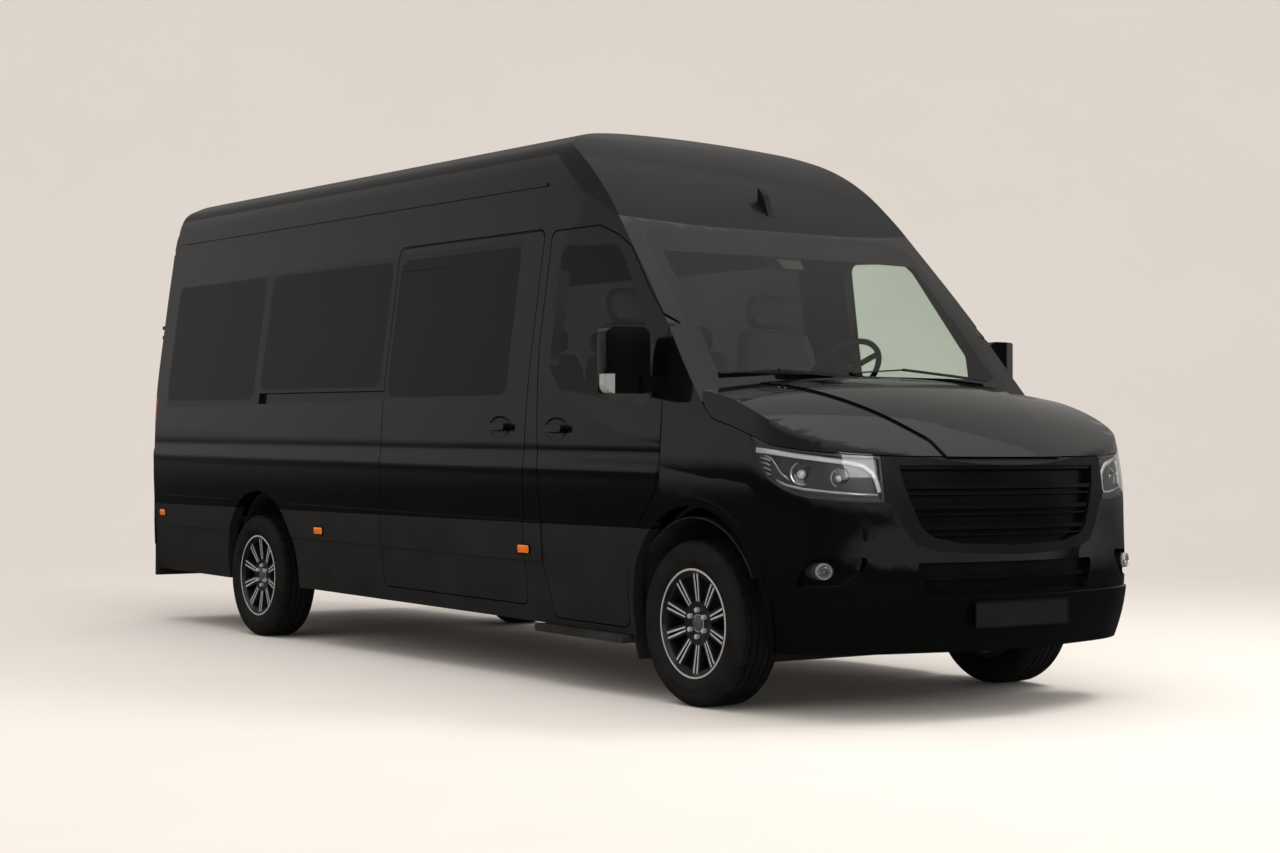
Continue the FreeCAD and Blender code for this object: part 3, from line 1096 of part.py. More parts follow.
def build_floor():
    """Floor pan from wall to wall, cut round the wheel boxes."""
    rear = ahead(s.rear_frame_x)
    floor = block(rear + s.skin_depth, ahead(s.floor_front_x) - s.close_gap, -far, far, s.floor_z, floor_top)
    floor = floor.common(section_prism(s.body_wall + s.close_gap, rear - s.overrun,
                                       ahead(s.screen_foot_x) + s.overrun, s.sill_z - s.overrun))
    cuts = []
    boxes = []
    rows = ((rear_axle_x + s.arch_rear_shift, rear_axle_x, s.arch_radius, s.wheel_box_inner_y, s.rear_slot_z),
            (ahead(s.arch_front_shift), axle_x, s.arch_front_radius, s.front_box_inner_y, s.front_slot_z))
    for x, axle, radius, inner_y, slot_z in rows:
        for side in (-1, 1):
            big = radius + s.panel_sheet
            centre = Vector(x, side * inner_y, s.arch_centre_z)
            out = Vector(0, side, 0)
            solid = Part.makeCylinder(big, s.wheel_box_outer_y - inner_y, centre, out)
            hollow = Part.makeCylinder(radius, far, centre + out * s.panel_sheet, out)
            low = block(x - 2 * radius, x + 2 * radius, -far, far, -far, s.box_bottom_z)
            slot = block(axle - s.axle_slot_half, axle + s.axle_slot_half, -far, far, -far, slot_z)
            boxes.append(solid.cut([hollow, low, slot]))
            cuts.append(Part.makeCylinder(big + s.close_gap, far, centre - out * s.close_gap, out))
    keep("floor_pan", floor.cut(cuts))
    keep("wheel_boxes", Part.makeCompound(boxes))


def build_firewall():
    """The bulkhead between engine and cab with the shelf that carries the scuttle."""
    rear = ahead(s.floor_front_x)
    top = s.body_base_z - s.close_gap
    plate = block(rear, rear + s.firewall_sheet, -s.firewall_half, s.firewall_half, floor_top + s.close_gap, top)
    shelf = block(rear, rear + s.shelf_length, -s.firewall_half, s.firewall_half, top - s.firewall_sheet, top)
    keep("firewall", plate.fuse(shelf))


def build_engine():
    """Engine with gearbox, the shaft to the rear axle, and the radiator that carries the bonnet's buffers."""
    rear = ahead(s.engine_rear_x)
    engine = block(rear, rear + s.engine_length, -s.engine_width / 2, s.engine_width / 2, s.engine_bottom_z,
                   s.engine_bottom_z + s.engine_height)
    gearbox_end = rear - s.gearbox_length
    gearbox = block(gearbox_end, rear + s.overrun, -s.gearbox_width / 2, s.gearbox_width / 2,
                    s.gearbox_bottom_z, s.gearbox_top_z)
    subframe_room = block(axle_x - s.beam_length, axle_x + s.beam_length, -far, far, 0, s.engine_bottom_z)
    engine = engine.fuse(gearbox.cut(subframe_room))
    shaft_rear = rear_axle_x + s.axle_case_half + s.close_gap
    shaft = rod(Vector(shaft_rear, 0, s.propshaft_z), Vector(gearbox_end - s.close_gap, 0, s.propshaft_z),
                s.propshaft_radius)
    x = ahead(s.radiator_x)
    radiator = block(x, x + s.radiator_depth, -s.radiator_half, s.radiator_half,
                     s.front_beam_high_z + s.close_gap, s.radiator_top_z)
    room = join_halves(nose_solid(s.nose_wall + s.close_gap))
    buffers = [rod(Vector(x + s.radiator_depth / 2, side * s.buffer_y, s.radiator_top_z - s.skin_depth),
                   Vector(x + s.radiator_depth / 2, side * s.buffer_y, far), s.buffer_radius).common(room)
               for side in (-1, 1)]
    keep("engine_block", Part.makeCompound([engine, shaft, radiator.common(room).fuse(buffers)]))


# Dashboard in the side view: shares of its depth and height.
dash_shares = [(1.0, 0.0), (0.25, 0.0), (0.0, 0.45), (0.08, 0.74), (0.30, 0.93), (0.62, 1.0), (1.0, 0.99)]
# The steering column falls forward by this angle, in degrees.
column_angle = 40


def build_dashboard():
    """Dashboard with the steering column's bore, and the steering wheel on its column."""
    x_low = ahead(s.dash_rear_x)
    run = ahead(s.floor_front_x) - s.close_gap - x_low
    outline = [(x_low + run * a, s.dash_bottom_z + s.dash_height * b) for a, b in dash_shares]
    dash = side_prism(outline, -s.dash_half, s.dash_half, s.overrun)
    hub = Vector(ahead(s.wheel_hub_x), s.wheel_hub_y, s.wheel_hub_z)
    along = Vector(math.cos(math.radians(column_angle)), 0, -math.sin(math.radians(column_angle)))
    room = block(ahead(s.dash_rear_x) - far, ahead(s.nose_back_x) - s.shut_gap, -far, far, 0, far)
    cab_room = body_solid(s.body_wall + s.close_gap)
    dash = dash.common(cab_room)
    dash = dash.cut(rod(hub, hub + along * (s.column_length + s.skin_depth), s.column_radius + s.pin_clearance))
    keep("dashboard", dash)
    ring_half = s.wheel_ring_thick
    turn = 2 * math.pi / 8
    section = [Vector(s.wheel_ring_radius + ring_half * math.cos(i * turn + turn / 2), 0,
                      ring_half * math.sin(i * turn + turn / 2)) for i in range(8)]
    wheel = Part.Face(Part.makePolygon(section + section[:1])).revolve(Vector(0, 0, 0), Vector(0, 0, 1), 360)
    boss = Part.makeCylinder(s.wheel_boss_radius, s.wheel_boss_depth, Vector(0, 0, -s.wheel_boss_depth / 4))
    column = Part.makeCylinder(s.column_radius, s.column_length)
    spokes = []
    for angle in (0, 130, 230):
        spoke = block(0, s.wheel_ring_radius, -s.wheel_spoke_width / 2, s.wheel_spoke_width / 2,
                      -s.wheel_spoke_thick / 2, s.wheel_spoke_thick / 2)
        spoke.rotate(Vector(), Vector(0, 0, 1), angle)
        spokes.append(spoke)
    steering = wheel.fuse([boss, column] + spokes)
    steering.rotate(Vector(), Vector(0, 1, 0), 90 + column_angle)
    steering.translate(hub)
    keep("steering_wheel", steering)


def seat_pieces(width, back_height, rest_height):
    """One seat facing forward about its own origin: plinth, cushion, leaning back and head rest."""
    tag = "%dx%d" % (width, back_height)
    top = s.seat_height
    base = top - s.cushion_thickness
    plinth = block(0, s.plinth_length, -s.plinth_width / 2, s.plinth_width / 2, 0, base)
    rear = -s.back_lean / 11
    cushion = side_prism([(rear, base + s.close_gap), (s.seat_depth, base + s.close_gap), (s.seat_depth, top),
                          (rear, top)], -width / 2, width / 2, s.seat_round)
    foot = rear - s.back_thickness / 11
    back = side_prism([(foot, top + s.close_gap), (foot + s.back_thickness, top + s.close_gap),
                       (foot + s.back_thickness - s.back_lean, top + back_height),
                       (foot - s.back_lean + s.back_thickness / 10, top + back_height)],
                      -width / 2 + s.back_thickness / 11, width / 2 - s.back_thickness / 11, s.seat_round)
    rest_z = top + back_height + s.close_gap
    head = foot - s.back_lean
    rest = side_prism([(head + s.close_gap, rest_z), (head + s.rest_depth, rest_z),
                       (head + s.rest_depth - s.back_lean / 6, rest_z + rest_height),
                       (head - s.back_lean / 6, rest_z + rest_height)],
                      -s.rest_width / 2, s.rest_width / 2, s.seat_round * 0.8)
    return plinth, [cushion, back, rest]


def seats_at(places, width, back_height, rest_height):
    """Copies of one seat at (x, y) places, each with its plinth on the aisle's side."""
    pieces = []
    plinth, soft = seat_pieces(width, back_height, rest_height)
    for x, y in places:
        foot = plinth.copy()
        toward_aisle = -1 if y > 0 else 1
        foot.translate(Vector(x, y + toward_aisle * s.plinth_width / 2, floor_top + s.close_gap))
        pieces.append(foot)
        for piece in soft:
            copy = piece.copy()
            copy.translate(Vector(x, y, floor_top + s.close_gap))
            pieces.append(copy)
    return Part.makeCompound(pieces)


def build_seats():
    """Two cab seats, a row of single seats on the right and of paired seats on the left."""
    cab = [(ahead(s.seat_x), side * s.seat_y) for side in (-1, 1)]
    keep("front_seats", seats_at(cab, s.front_seat_width, s.back_height, s.rest_height))
    single = [(ahead(s.first_single_x - row * s.row_pitch), s.single_y) for row in range(4)]
    keep("seats_right", seats_at(single, s.seat_width, s.cabin_back_height, s.cabin_rest_height))
    paired = [(ahead(s.first_row_x - row * s.row_pitch), y) for row in range(5)
              for y in (s.aisle_seat_y, s.window_seat_y)]
    keep("seats_left", seats_at(paired, s.seat_width - s.back_thickness / 11, s.cabin_back_height,
                                s.cabin_rest_height))


def build_rear():
    """Rear frame, rear doors with their hinges, tail lamps and rear bumper."""
    x_front = ahead(s.rear_frame_x)
    x_back = x_front - s.rear_door_thickness
    end_wall = section_prism(0, x_back, x_front - s.close_gap, s.sill_z).common(
        block(x_back - s.overrun, x_front + s.overrun, -far, far, s.rear_bumper_top_z + s.close_gap, far))
    corner = s.body_half_width - s.rear_corner_in
    wide = s.body_half_width + s.overrun
    rounded = plan_prism([(x_front + s.rear_corner_run, -wide), (x_front + s.rear_corner_run, wide),
                          (x_back, corner), (x_back, -corner)], 0, far, s.rear_corner_radius)
    end_wall = end_wall.common(rounded)
    hole = block(x_back - s.overrun, x_front + s.overrun, -s.rear_door_half, s.rear_door_half,
                 s.rear_door_bottom_z, s.rear_door_top_z)
    lamp_box = [block(x_back - s.overrun, x_front + s.overrun, side * s.tail_lamp_inner_y, side * far,
                      s.tail_lamp_low_z, s.tail_lamp_high_z) for side in (-1, 1)]
    keep("rear_frame", end_wall.cut([hole] + lamp_box))
    keep("tail_lamps", Part.makeCompound([end_wall.common(zone) for zone in lamp_box]))
    axis_x = x_back - s.rear_hinge_proud
    axis_half = s.rear_door_half + s.rear_hinge_out
    pins = []
    for side, word in SIDES:
        gap = s.shut_gap
        leaf = end_wall.common(block(x_back - s.overrun, x_front + s.overrun, side * gap / 2,
                                     side * (s.rear_door_half - gap), s.rear_door_bottom_z + gap,
                                     s.rear_door_top_z - gap))
        inner = side * s.rear_glass_inner_y
        outside = side * (s.rear_door_half - s.rear_glass_margin)
        window = block(x_back - s.overrun, x_front + s.overrun, inner, outside, s.rear_glass_bottom_z,
                       s.rear_glass_top_z)
        seat = s.close_gap
        pane = block(x_back + seat, x_back + seat + s.glass_thickness, inner + side * seat, outside - side * seat,
                     s.rear_glass_bottom_z + seat, s.rear_glass_top_z - seat)
        straps = []
        for z in (s.rear_hinge_low_z, s.rear_hinge_high_z):
            axis = Vector(axis_x, side * axis_half, z)
            up = Vector(0, 0, 1)
            half = s.rear_strap_height / 2
            eye = rod(axis - up * half, axis + up * half, s.rear_hinge_eye)
            strap = block(axis_x - s.rear_hinge_eye / 6, x_back + s.close_gap, side * (axis_half - s.rear_hinge_eye / 2),
                          side * s.rear_strap_y, z - half, z + half)
            bore = rod(axis - up * s.rear_hinge_height, axis + up * s.rear_hinge_height,
                       s.rear_hinge_radius + s.pin_clearance)
            straps.append(eye.fuse(strap).cut(bore))
            pin = rod(axis - up * (s.rear_hinge_height / 2), axis + up * (s.rear_hinge_height / 2),
                      s.rear_hinge_radius)
            lug_gap = half + 2 * s.close_gap
            lugs = [block(axis_x - s.rear_hinge_eye, x_back - s.close_gap, side * (axis_half - s.rear_hinge_eye / 2),
                          side * (axis_half + s.rear_lug_reach), z + low, z + low + s.rear_hinge_lug)
                    for low in (-lug_gap - s.rear_hinge_lug, lug_gap)]
            pins.append(pin.fuse(lugs))
        keep("rear_door_" + word, leaf.cut(window).fuse(straps))
        keep("rear_door_glass_" + word, pane)
    keep("rear_hinges", Part.makeCompound(pins))
    end = -half_length
    seat = x_front - s.close_gap
    left = [(end, s.rear_bumper_middle), (end + s.rear_bumper_depth, s.rear_bumper_knee),
            (x_back + s.rear_hinge_proud, s.rear_bumper_half), (seat, s.rear_bumper_half)]
    right = [(x, -y) for x, y in reversed(left)]
    keep("rear_bumper", plan_prism(left + right, s.rear_bumper_bottom_z, s.rear_bumper_top_z, s.overrun))


def build_mirrors():
    """Rounded mirror housings, each on an arm from its door."""
    for side, word in SIDES:
        inner = s.body_half_width + s.mirror_gap
        outline = [(side * inner, s.mirror_low_z), (side * (inner + s.mirror_width), s.mirror_low_z),
                   (side * (inner + s.mirror_width), s.mirror_high_z), (side * inner, s.mirror_high_z)]
        rear = ahead(s.mirror_rear_x)
        housing = front_prism(outline, rear, rear + s.mirror_depth, s.mirror_round)
        plan = plan_prism([(rear, side * (inner - s.overrun)), (rear, side * (inner + s.mirror_width)),
                           (rear + s.mirror_depth * 0.7, side * (inner + s.mirror_width)),
                           (rear + s.mirror_depth, side * (inner + s.mirror_width * 0.55)),
                           (rear + s.mirror_depth, side * (inner - s.overrun))], 0, far, s.mirror_round)
        arm = block(ahead(s.mirror_arm_rear_x), ahead(s.mirror_arm_front_x), side * s.mirror_arm_inner_y,
                    side * (inner + s.mirror_width / 4), s.mirror_arm_low_z, s.mirror_arm_high_z)
        keep("mirror_" + word, housing.common(plan).fuse(arm).cut(outer))


def build_underbody():
    """Fuel tank, exhaust, side step and mud flaps below the floor."""
    top = s.floor_z - s.close_gap
    tank = side_prism([(ahead(s.tank_rear_x), s.tank_bottom_z), (ahead(s.tank_front_x), s.tank_bottom_z),
                       (ahead(s.tank_front_x), top), (ahead(s.tank_rear_x), top)],
                      s.tank_inner_y, s.tank_outer_y, s.tank_round)
    pipe = rod(Vector(ahead(s.pipe_rear_x), s.pipe_y, s.pipe_z), Vector(ahead(s.pipe_front_x), s.pipe_y, s.pipe_z),
               s.pipe_radius)
    silencer = rod(Vector(ahead(s.silencer_rear_x), s.pipe_y, s.pipe_z),
                   Vector(ahead(s.silencer_front_x), s.pipe_y, s.pipe_z), s.silencer_radius)
    hangers = [block(ahead(x), ahead(x) + s.crossmember / 3, s.pipe_y - s.pipe_radius / 2,
                     s.pipe_y + s.pipe_radius / 2, s.pipe_z, top) for x in
               (s.silencer_rear_x, s.silencer_front_x - s.crossmember)]
    exhaust = pipe.fuse([silencer] + hangers)
    pieces = [tank, exhaust]
    for side in (-1, 1):
        step_top = s.sill_z - s.close_gap
        pieces.append(side_prism(box_outline(s.step_rear_x, s.step_front_x, step_top - s.step_thickness, step_top),
                                 side * s.step_inner_y, side * s.step_outer_y, s.step_thickness / 4))
        x = ahead(s.flap_x)
        pieces.append(block(x, x + s.flap_thickness, side * s.flap_inner_y, side * s.flap_outer_y,
                            s.flap_bottom_z, top))
    keep("underbody", Part.makeCompound(pieces))


build_body_shell()
build_sliding_door()
build_front_doors()
build_nose()
build_wipers()
for x, place_name in ((AXLE, "front"), (AXLE + " - wheelbase", "rear")):
    for side, word in SIDES:
        build_tyre(place_name + "_" + word, x, side)
        build_rim(place_name + "_" + word, x, side)
        build_disc(place_name + "_" + word, x, side)
for side, word in SIDES:
    build_knuckle(side, word)
build_front_subframe()
build_rear_axle()
build_leaf_springs()
build_chassis()
build_floor()
build_firewall()
build_engine()
build_dashboard()
build_seats()
build_rear()
build_mirrors()
build_underbody()

doc.recompute()
for item in doc.Objects:
    if "Invalid" in item.State or "Error" in item.State:
        raise RuntimeError("%s could not be built" % item.Name)
for piece in nodes:
    if piece.Shape.isNull() or not piece.Shape.isValid():
        raise RuntimeError("%s has no sound shape" % piece.Label)
for piece in nodes:
    print("%-24s solids %d volume %.4f" % (piece.Label, len(piece.Shape.Solids), piece.Shape.Volume / 1e9))
    piece.Shape.exportStep("parts/" + piece.Label + ".step")
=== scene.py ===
# %% [markdown]
# # A long black minibus with a high roof
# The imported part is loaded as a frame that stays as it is. Every look below stands in that same
# frame, in metres, with X forward, Y to the vehicle's left and Z up, and rides on one of its bodies.

# %% Load the frame
import bmesh
import bpy
import json
import math
from mathutils import Matrix, Vector
from mathutils.bvhtree import BVHTree


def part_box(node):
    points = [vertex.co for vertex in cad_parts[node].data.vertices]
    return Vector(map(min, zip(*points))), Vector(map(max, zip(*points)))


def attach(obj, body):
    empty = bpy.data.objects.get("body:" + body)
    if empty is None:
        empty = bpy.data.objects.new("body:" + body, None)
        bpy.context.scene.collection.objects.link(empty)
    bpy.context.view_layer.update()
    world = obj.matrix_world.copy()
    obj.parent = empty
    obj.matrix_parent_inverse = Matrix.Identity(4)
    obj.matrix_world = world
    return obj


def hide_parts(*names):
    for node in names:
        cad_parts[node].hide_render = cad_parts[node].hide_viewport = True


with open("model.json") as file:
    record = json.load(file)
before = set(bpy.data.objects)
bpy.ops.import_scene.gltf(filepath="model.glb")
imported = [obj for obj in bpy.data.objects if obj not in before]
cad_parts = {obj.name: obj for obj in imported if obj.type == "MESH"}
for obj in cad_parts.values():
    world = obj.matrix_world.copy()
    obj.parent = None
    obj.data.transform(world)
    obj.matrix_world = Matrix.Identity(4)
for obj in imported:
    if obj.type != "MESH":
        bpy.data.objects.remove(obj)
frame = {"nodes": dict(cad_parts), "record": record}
body_of_node = {node: body for body, members in frame["record"]["behaviour"]["bodies"].items()
                for node in members}
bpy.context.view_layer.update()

# %% [markdown]
# ## Places that the looks share
# A wheel sits on its axle and a lamp in its opening. So the axle's place, the wheelbase and the
# tyre's size are measured on the CAD nodes, and only what the CAD doesn't know is typed below.

# %% Shared places
CORNERS = ("front_right", "front_left", "rear_right", "rear_left")
SIDES = (("right", -1), ("left", 1))
tyre_low, tyre_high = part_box("tyre_front_right")
AXLE_X = (tyre_low.x + tyre_high.x) / 2
WHEELBASE = AXLE_X - sum(corner.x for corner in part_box("tyre_rear_right")) / 2
HALF_TRACK = -(tyre_low.y + tyre_high.y) / 2
TYRE_RADIUS = (tyre_high.z - tyre_low.z) / 2
print("axle at", round(AXLE_X, 3), "wheelbase", round(WHEELBASE, 3))

# %% [markdown]
# ## Materials
# No real surface has one flat colour. One function builds every solid finish: a broad noise wears its
# colour, and a fine noise varies its roughness and lifts a small bump. Glass could be a transmission
# shader, but thin panes of it darken what lies behind. So glass lets light straight through, tints
# it, and mirrors by its angle on its outer faces only.

# %% Material functions
COLOUR_A, COLOUR_B, COLOUR_OUT = 6, 7, 2
BUMP_DISTANCE = 0.002
GLASS_IOR = 1.5
GLASS_SMEAR = 0.02


def put(tree, socket, value):
    """Gives an input its value: an output is linked, anything else is typed in."""
    if isinstance(value, bpy.types.NodeSocket):
        tree.links.new(value, socket)
    else:
        socket.default_value = value


def feed(tree, node, **inputs):
    """Gives a node's inputs their values by name, with a space written as an underscore."""
    for name, value in inputs.items():
        put(tree, node.inputs[name.replace("_", " ")], value)
    return node


def add_node(tree, kind, **inputs):
    """Adds a shader node and feeds it."""
    return feed(tree, tree.nodes.new("ShaderNode" + kind), **inputs)


def texture_noise(tree, scale, detail=3.0, stretch=(1, 1, 1)):
    """A noise texture in object space, stretched along one direction if asked."""
    mapping = add_node(tree, "Mapping", Vector=add_node(tree, "TexCoord").outputs["Object"], Scale=stretch)
    noise = add_node(tree, "TexNoise", Vector=mapping.outputs["Vector"], Scale=scale, Detail=detail)
    return noise.outputs["Fac"]


def remap(tree, value, low, high, start=0.3, end=0.7):
    """Carries a value from its own range to a wanted one."""
    node = add_node(tree, "MapRange", Value=value, From_Min=start, From_Max=end, To_Min=low, To_Max=high)
    return node.outputs["Result"]


def mix_colours(tree, factor, first, second):
    """Mixes two colours by a factor output."""
    node = tree.nodes.new("ShaderNodeMix")
    node.data_type = "RGBA"
    for socket, value in ((0, factor), (COLOUR_A, (*first, 1)), (COLOUR_B, (*second, 1))):
        put(tree, node.inputs[socket], value)
    return node.outputs[COLOUR_OUT]


def mix_shaders(tree, factor, first, second):
    """Mixes two shaders by a factor output."""
    node = add_node(tree, "MixShader", Fac=factor)
    put(tree, node.inputs[1], first)
    put(tree, node.inputs[2], second)
    return node.outputs["Shader"]


def calculated(tree, operation, first, second):
    """Calculates with two values or outputs."""
    node = tree.nodes.new("ShaderNodeMath")
    node.operation = operation
    put(tree, node.inputs[0], first)
    put(tree, node.inputs[1], second)
    return node.outputs["Value"]


def finish(name, colour, worn, rough, rough_worn, metal=0.0, coat=0.0, grain=40.0, bump=0.02,
           spot=3.0, stretch=(1, 1, 1), specular=0.5, coat_rough=0.03):
    """A solid finish with its own grain, wear and roughness."""
    material = bpy.data.materials.new(name)
    material.use_nodes = True
    tree = material.node_tree
    wear = texture_noise(tree, spot, 5.0)
    fine = texture_noise(tree, grain, 3.0, stretch)
    lifted = add_node(tree, "Bump", Strength=bump, Distance=BUMP_DISTANCE, Height=fine)
    feed(tree, tree.nodes["Principled BSDF"], Roughness=remap(tree, fine, rough, rough_worn),
         Base_Color=mix_colours(tree, remap(tree, wear, 0, 1), colour, worn), Metallic=metal,
         Specular_IOR_Level=specular, Coat_Weight=coat, Coat_Roughness=coat_rough,
         Normal=lifted.outputs["Normal"])
    return material


def glass(name, tint, shade):
    """Clear or tinted glass that lets light through straight; only its outer faces mirror."""
    material = bpy.data.materials.new(name)
    material.use_nodes = True
    tree = material.node_tree
    tree.nodes.clear()
    smear = texture_noise(tree, 2.5, 4.0)
    through = add_node(tree, "BsdfTransparent", Color=mix_colours(tree, remap(tree, smear, 0, 1), tint, shade))
    mirror = add_node(tree, "BsdfGlossy", Roughness=remap(tree, smear, 0.0, GLASS_SMEAR))
    outer = calculated(tree, "SUBTRACT", 1.0, add_node(tree, "NewGeometry").outputs["Backfacing"])
    share = calculated(tree, "MULTIPLY", outer, add_node(tree, "Fresnel", IOR=GLASS_IOR).outputs["Fac"])
    add_node(tree, "OutputMaterial",
             Surface=mix_shaders(tree, share, through.outputs["BSDF"], mirror.outputs["BSDF"]))
    return material


print("material functions ready")

# %% [markdown]
# ## The finishes of the minibus
# The body is clear-coated black: the coat mirrors and the colour below stays almost black. The roof
# is duller, the cladding is grained plastic, and the rims join dark paint to machined metal.

# %% Finishes
PAINT = finish("gloss black paint", (0.0015, 0.0015, 0.0016), (0.0025, 0.0025, 0.0026), 0.20, 0.28,
               coat=1.0, grain=600, bump=0.003, spot=1.2, specular=0.05, coat_rough=0.02)
SATIN = finish("satin roof black", (0.006, 0.006, 0.0062), (0.009, 0.009, 0.0092), 0.34, 0.44,
               coat=0.30, grain=500, bump=0.006, spot=1.5, specular=0.08, coat_rough=0.12)
CLADDING = finish("dark grained plastic", (0.010, 0.010, 0.0105), (0.016, 0.016, 0.0165), 0.42, 0.58,
                  grain=900, bump=0.12, spot=4)
TRIM = finish("black trim", (0.004, 0.004, 0.0042), (0.007, 0.007, 0.0072), 0.30, 0.42, grain=700,
              bump=0.05, spot=5, specular=0.16)
GRILLE_BLACK = finish("grille black", (0.0015, 0.0015, 0.0015), (0.003, 0.003, 0.003), 0.20, 0.34, grain=500,
                      bump=0.03, spot=6, specular=0.12)
RUBBER = finish("tyre rubber", (0.0060, 0.0060, 0.0060), (0.0115, 0.0112, 0.0108), 0.62, 0.80, grain=180,
                bump=0.15, spot=9, specular=0.25)
ALLOY_DARK = finish("dark alloy paint", (0.020, 0.020, 0.022), (0.035, 0.035, 0.038), 0.28, 0.38,
                    metal=0.6, coat=0.6, grain=300, bump=0.02, spot=9)
ALLOY_BRIGHT = finish("machined alloy", (0.50, 0.50, 0.51), (0.62, 0.62, 0.63), 0.30, 0.45,
                      metal=0.35, grain=260, bump=0.03, spot=14, stretch=(1, 6, 1))
ALLOY_SATIN = finish("satin cap alloy", (0.10, 0.10, 0.105), (0.15, 0.15, 0.155), 0.30, 0.42, metal=0.5,
                     grain=300, bump=0.03, spot=18)
IRON = finish("turned iron", (0.16, 0.155, 0.15), (0.24, 0.22, 0.20), 0.35, 0.55, metal=1.0,
              grain=160, bump=0.05, spot=16)
UNDER = finish("underbody black", (0.012, 0.012, 0.012), (0.03, 0.028, 0.026), 0.55, 0.75, grain=90,
               bump=0.12, spot=6)
INTERIOR = finish("dark interior plastic", (0.020, 0.020, 0.021), (0.032, 0.032, 0.033), 0.5, 0.65,
                  grain=700, bump=0.1, spot=5)
FABRIC = finish("woven seat fabric", (0.030, 0.030, 0.032), (0.045, 0.045, 0.048), 0.82, 0.95,
                grain=1200, bump=0.3, spot=7)
RED_LAMP = finish("red lamp cover", (0.42, 0.010, 0.008), (0.55, 0.020, 0.012), 0.08, 0.16, coat=1.0,
                  grain=160, bump=0.02, spot=20)
AMBER = finish("amber marker cover", (0.85, 0.16, 0.010), (0.95, 0.24, 0.02), 0.10, 0.2, coat=1.0,
               grain=160, bump=0.02, spot=20)
GLASS_CLEAR = glass("clear cab glass", (0.89, 0.93, 0.90), (0.86, 0.91, 0.88))
GLASS_DARK = glass("privacy glass", (0.16, 0.165, 0.17), (0.13, 0.135, 0.14))
FRIT = finish("black ceramic border", (0.003, 0.003, 0.003), (0.005, 0.005, 0.005), 0.06, 0.12, grain=200,
              bump=0.004, spot=6, specular=0.5)
GLOSS_BAND = finish("gloss band between panes", (0.003, 0.003, 0.0032), (0.005, 0.005, 0.0052), 0.05, 0.10,
                    grain=200, bump=0.003, spot=4, specular=0.5)
SILVER_LAMP = finish("silver indicator cover", (0.42, 0.42, 0.43), (0.50, 0.50, 0.51), 0.12, 0.22, metal=0.4,
                     coat=1.0, grain=240, bump=0.02, spot=30)
LAMP_DARK = finish("dark lamp housing", (0.030, 0.030, 0.031), (0.045, 0.045, 0.046), 0.22, 0.35, metal=0.3,
                   coat=0.4, grain=300, bump=0.03, spot=20)
LAMP_SILVER = finish("reflector silver", (0.50, 0.50, 0.51), (0.62, 0.62, 0.63), 0.10, 0.18, metal=0.65,
                     grain=120, bump=0.01, spot=20)
LAMP_WHITE = finish("light guide", (0.62, 0.63, 0.65), (0.72, 0.73, 0.75), 0.12, 0.20, metal=0.2, coat=1.0,
                    grain=300, bump=0.02, spot=25)
PLATE_BLACK = finish("blank plate black", (0.006, 0.006, 0.006), (0.010, 0.010, 0.010), 0.38, 0.5, grain=400,
                     bump=0.02, spot=8, specular=0.3)
LAMP_CLEAR = glass("clear lamp cover", (0.96, 0.97, 0.98), (0.93, 0.94, 0.95))
print("materials", len(bpy.data.materials))

# %% [markdown]
# ## Smooth panels
# A CAD mesh comes as loose triangles, which look faceted. Remeshing it would round its edges away.
# So each visible node gets a copy whose triangles are joined and shaded smooth, except across sharp
# edges. Where one pressed panel carries two finishes, as cladding below paint, the copy is cut along
# planes and the faces between them get a slot of their own. The copy stands for its node.

# %% Smooth copies
WELD = 0.00008
TOLERANCE = 0.00002
PANEL_ANGLE = 28.0
BONNET_ANGLE = 70.0


def placed(name, data):
    """Adds an object with its data to the scene."""
    thing = bpy.data.objects.new(name, data)
    bpy.context.scene.collection.objects.link(thing)
    return thing


def bind_piece(mesh, name, body, material):
    """Makes an object of a mesh, gives it its finish and lets it ride on a body."""
    piece = placed(name, mesh)
    for entry in (material if isinstance(material, (list, tuple)) else [material]):
        mesh.materials.append(entry)
    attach(piece, body)
    return piece


def meshed(work, name):
    """Ends a bmesh and returns it as a mesh."""
    mesh = bpy.data.meshes.new(name)
    work.to_mesh(mesh)
    work.free()
    return mesh


def welded(node):
    """A bmesh of a CAD node with its loose triangles joined."""
    work = bmesh.new()
    work.from_mesh(frame["nodes"][node].data)
    bmesh.ops.remove_doubles(work, verts=work.verts, dist=WELD)
    return work


def soften(work, angle):
    """Shades faces smooth except across edges sharper than the angle."""
    limit = math.radians(angle)
    for face in work.faces:
        face.smooth = True
    for edge in work.edges:
        edge.smooth = len(edge.link_faces) == 2 and edge.calc_face_angle(0) < limit


def split_zones(work, zones):
    """Cuts a piece along each zone's planes and gives the faces inside all of them the zone's slot."""
    for index, planes in enumerate(zones, 1):
        for point, inward in planes:
            bmesh.ops.bisect_plane(work, geom=work.verts[:] + work.edges[:] + work.faces[:],
                                   dist=TOLERANCE, plane_co=point, plane_no=inward)
        for face in work.faces:
            middle = face.calc_center_median()
            if all((middle - Vector(point)).dot(Vector(inward)) > 0 for point, inward in planes):
                face.material_index = index


def smooth_node(node, material, angle=PANEL_ANGLE):
    """Replaces one CAD node by its smooth copy, with other finishes in its zones."""
    zones = ZONES_OF_NODE.get(node, [])
    work = welded(node)
    soften(work, angle)
    split_zones(work, [planes for _, planes in zones])
    piece = bind_piece(meshed(work, node + "_smooth"), node + "_smooth", body_of_node[node],
                       [material] + [entry for entry, _ in zones])
    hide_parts(node)


print("smooth copies ready")

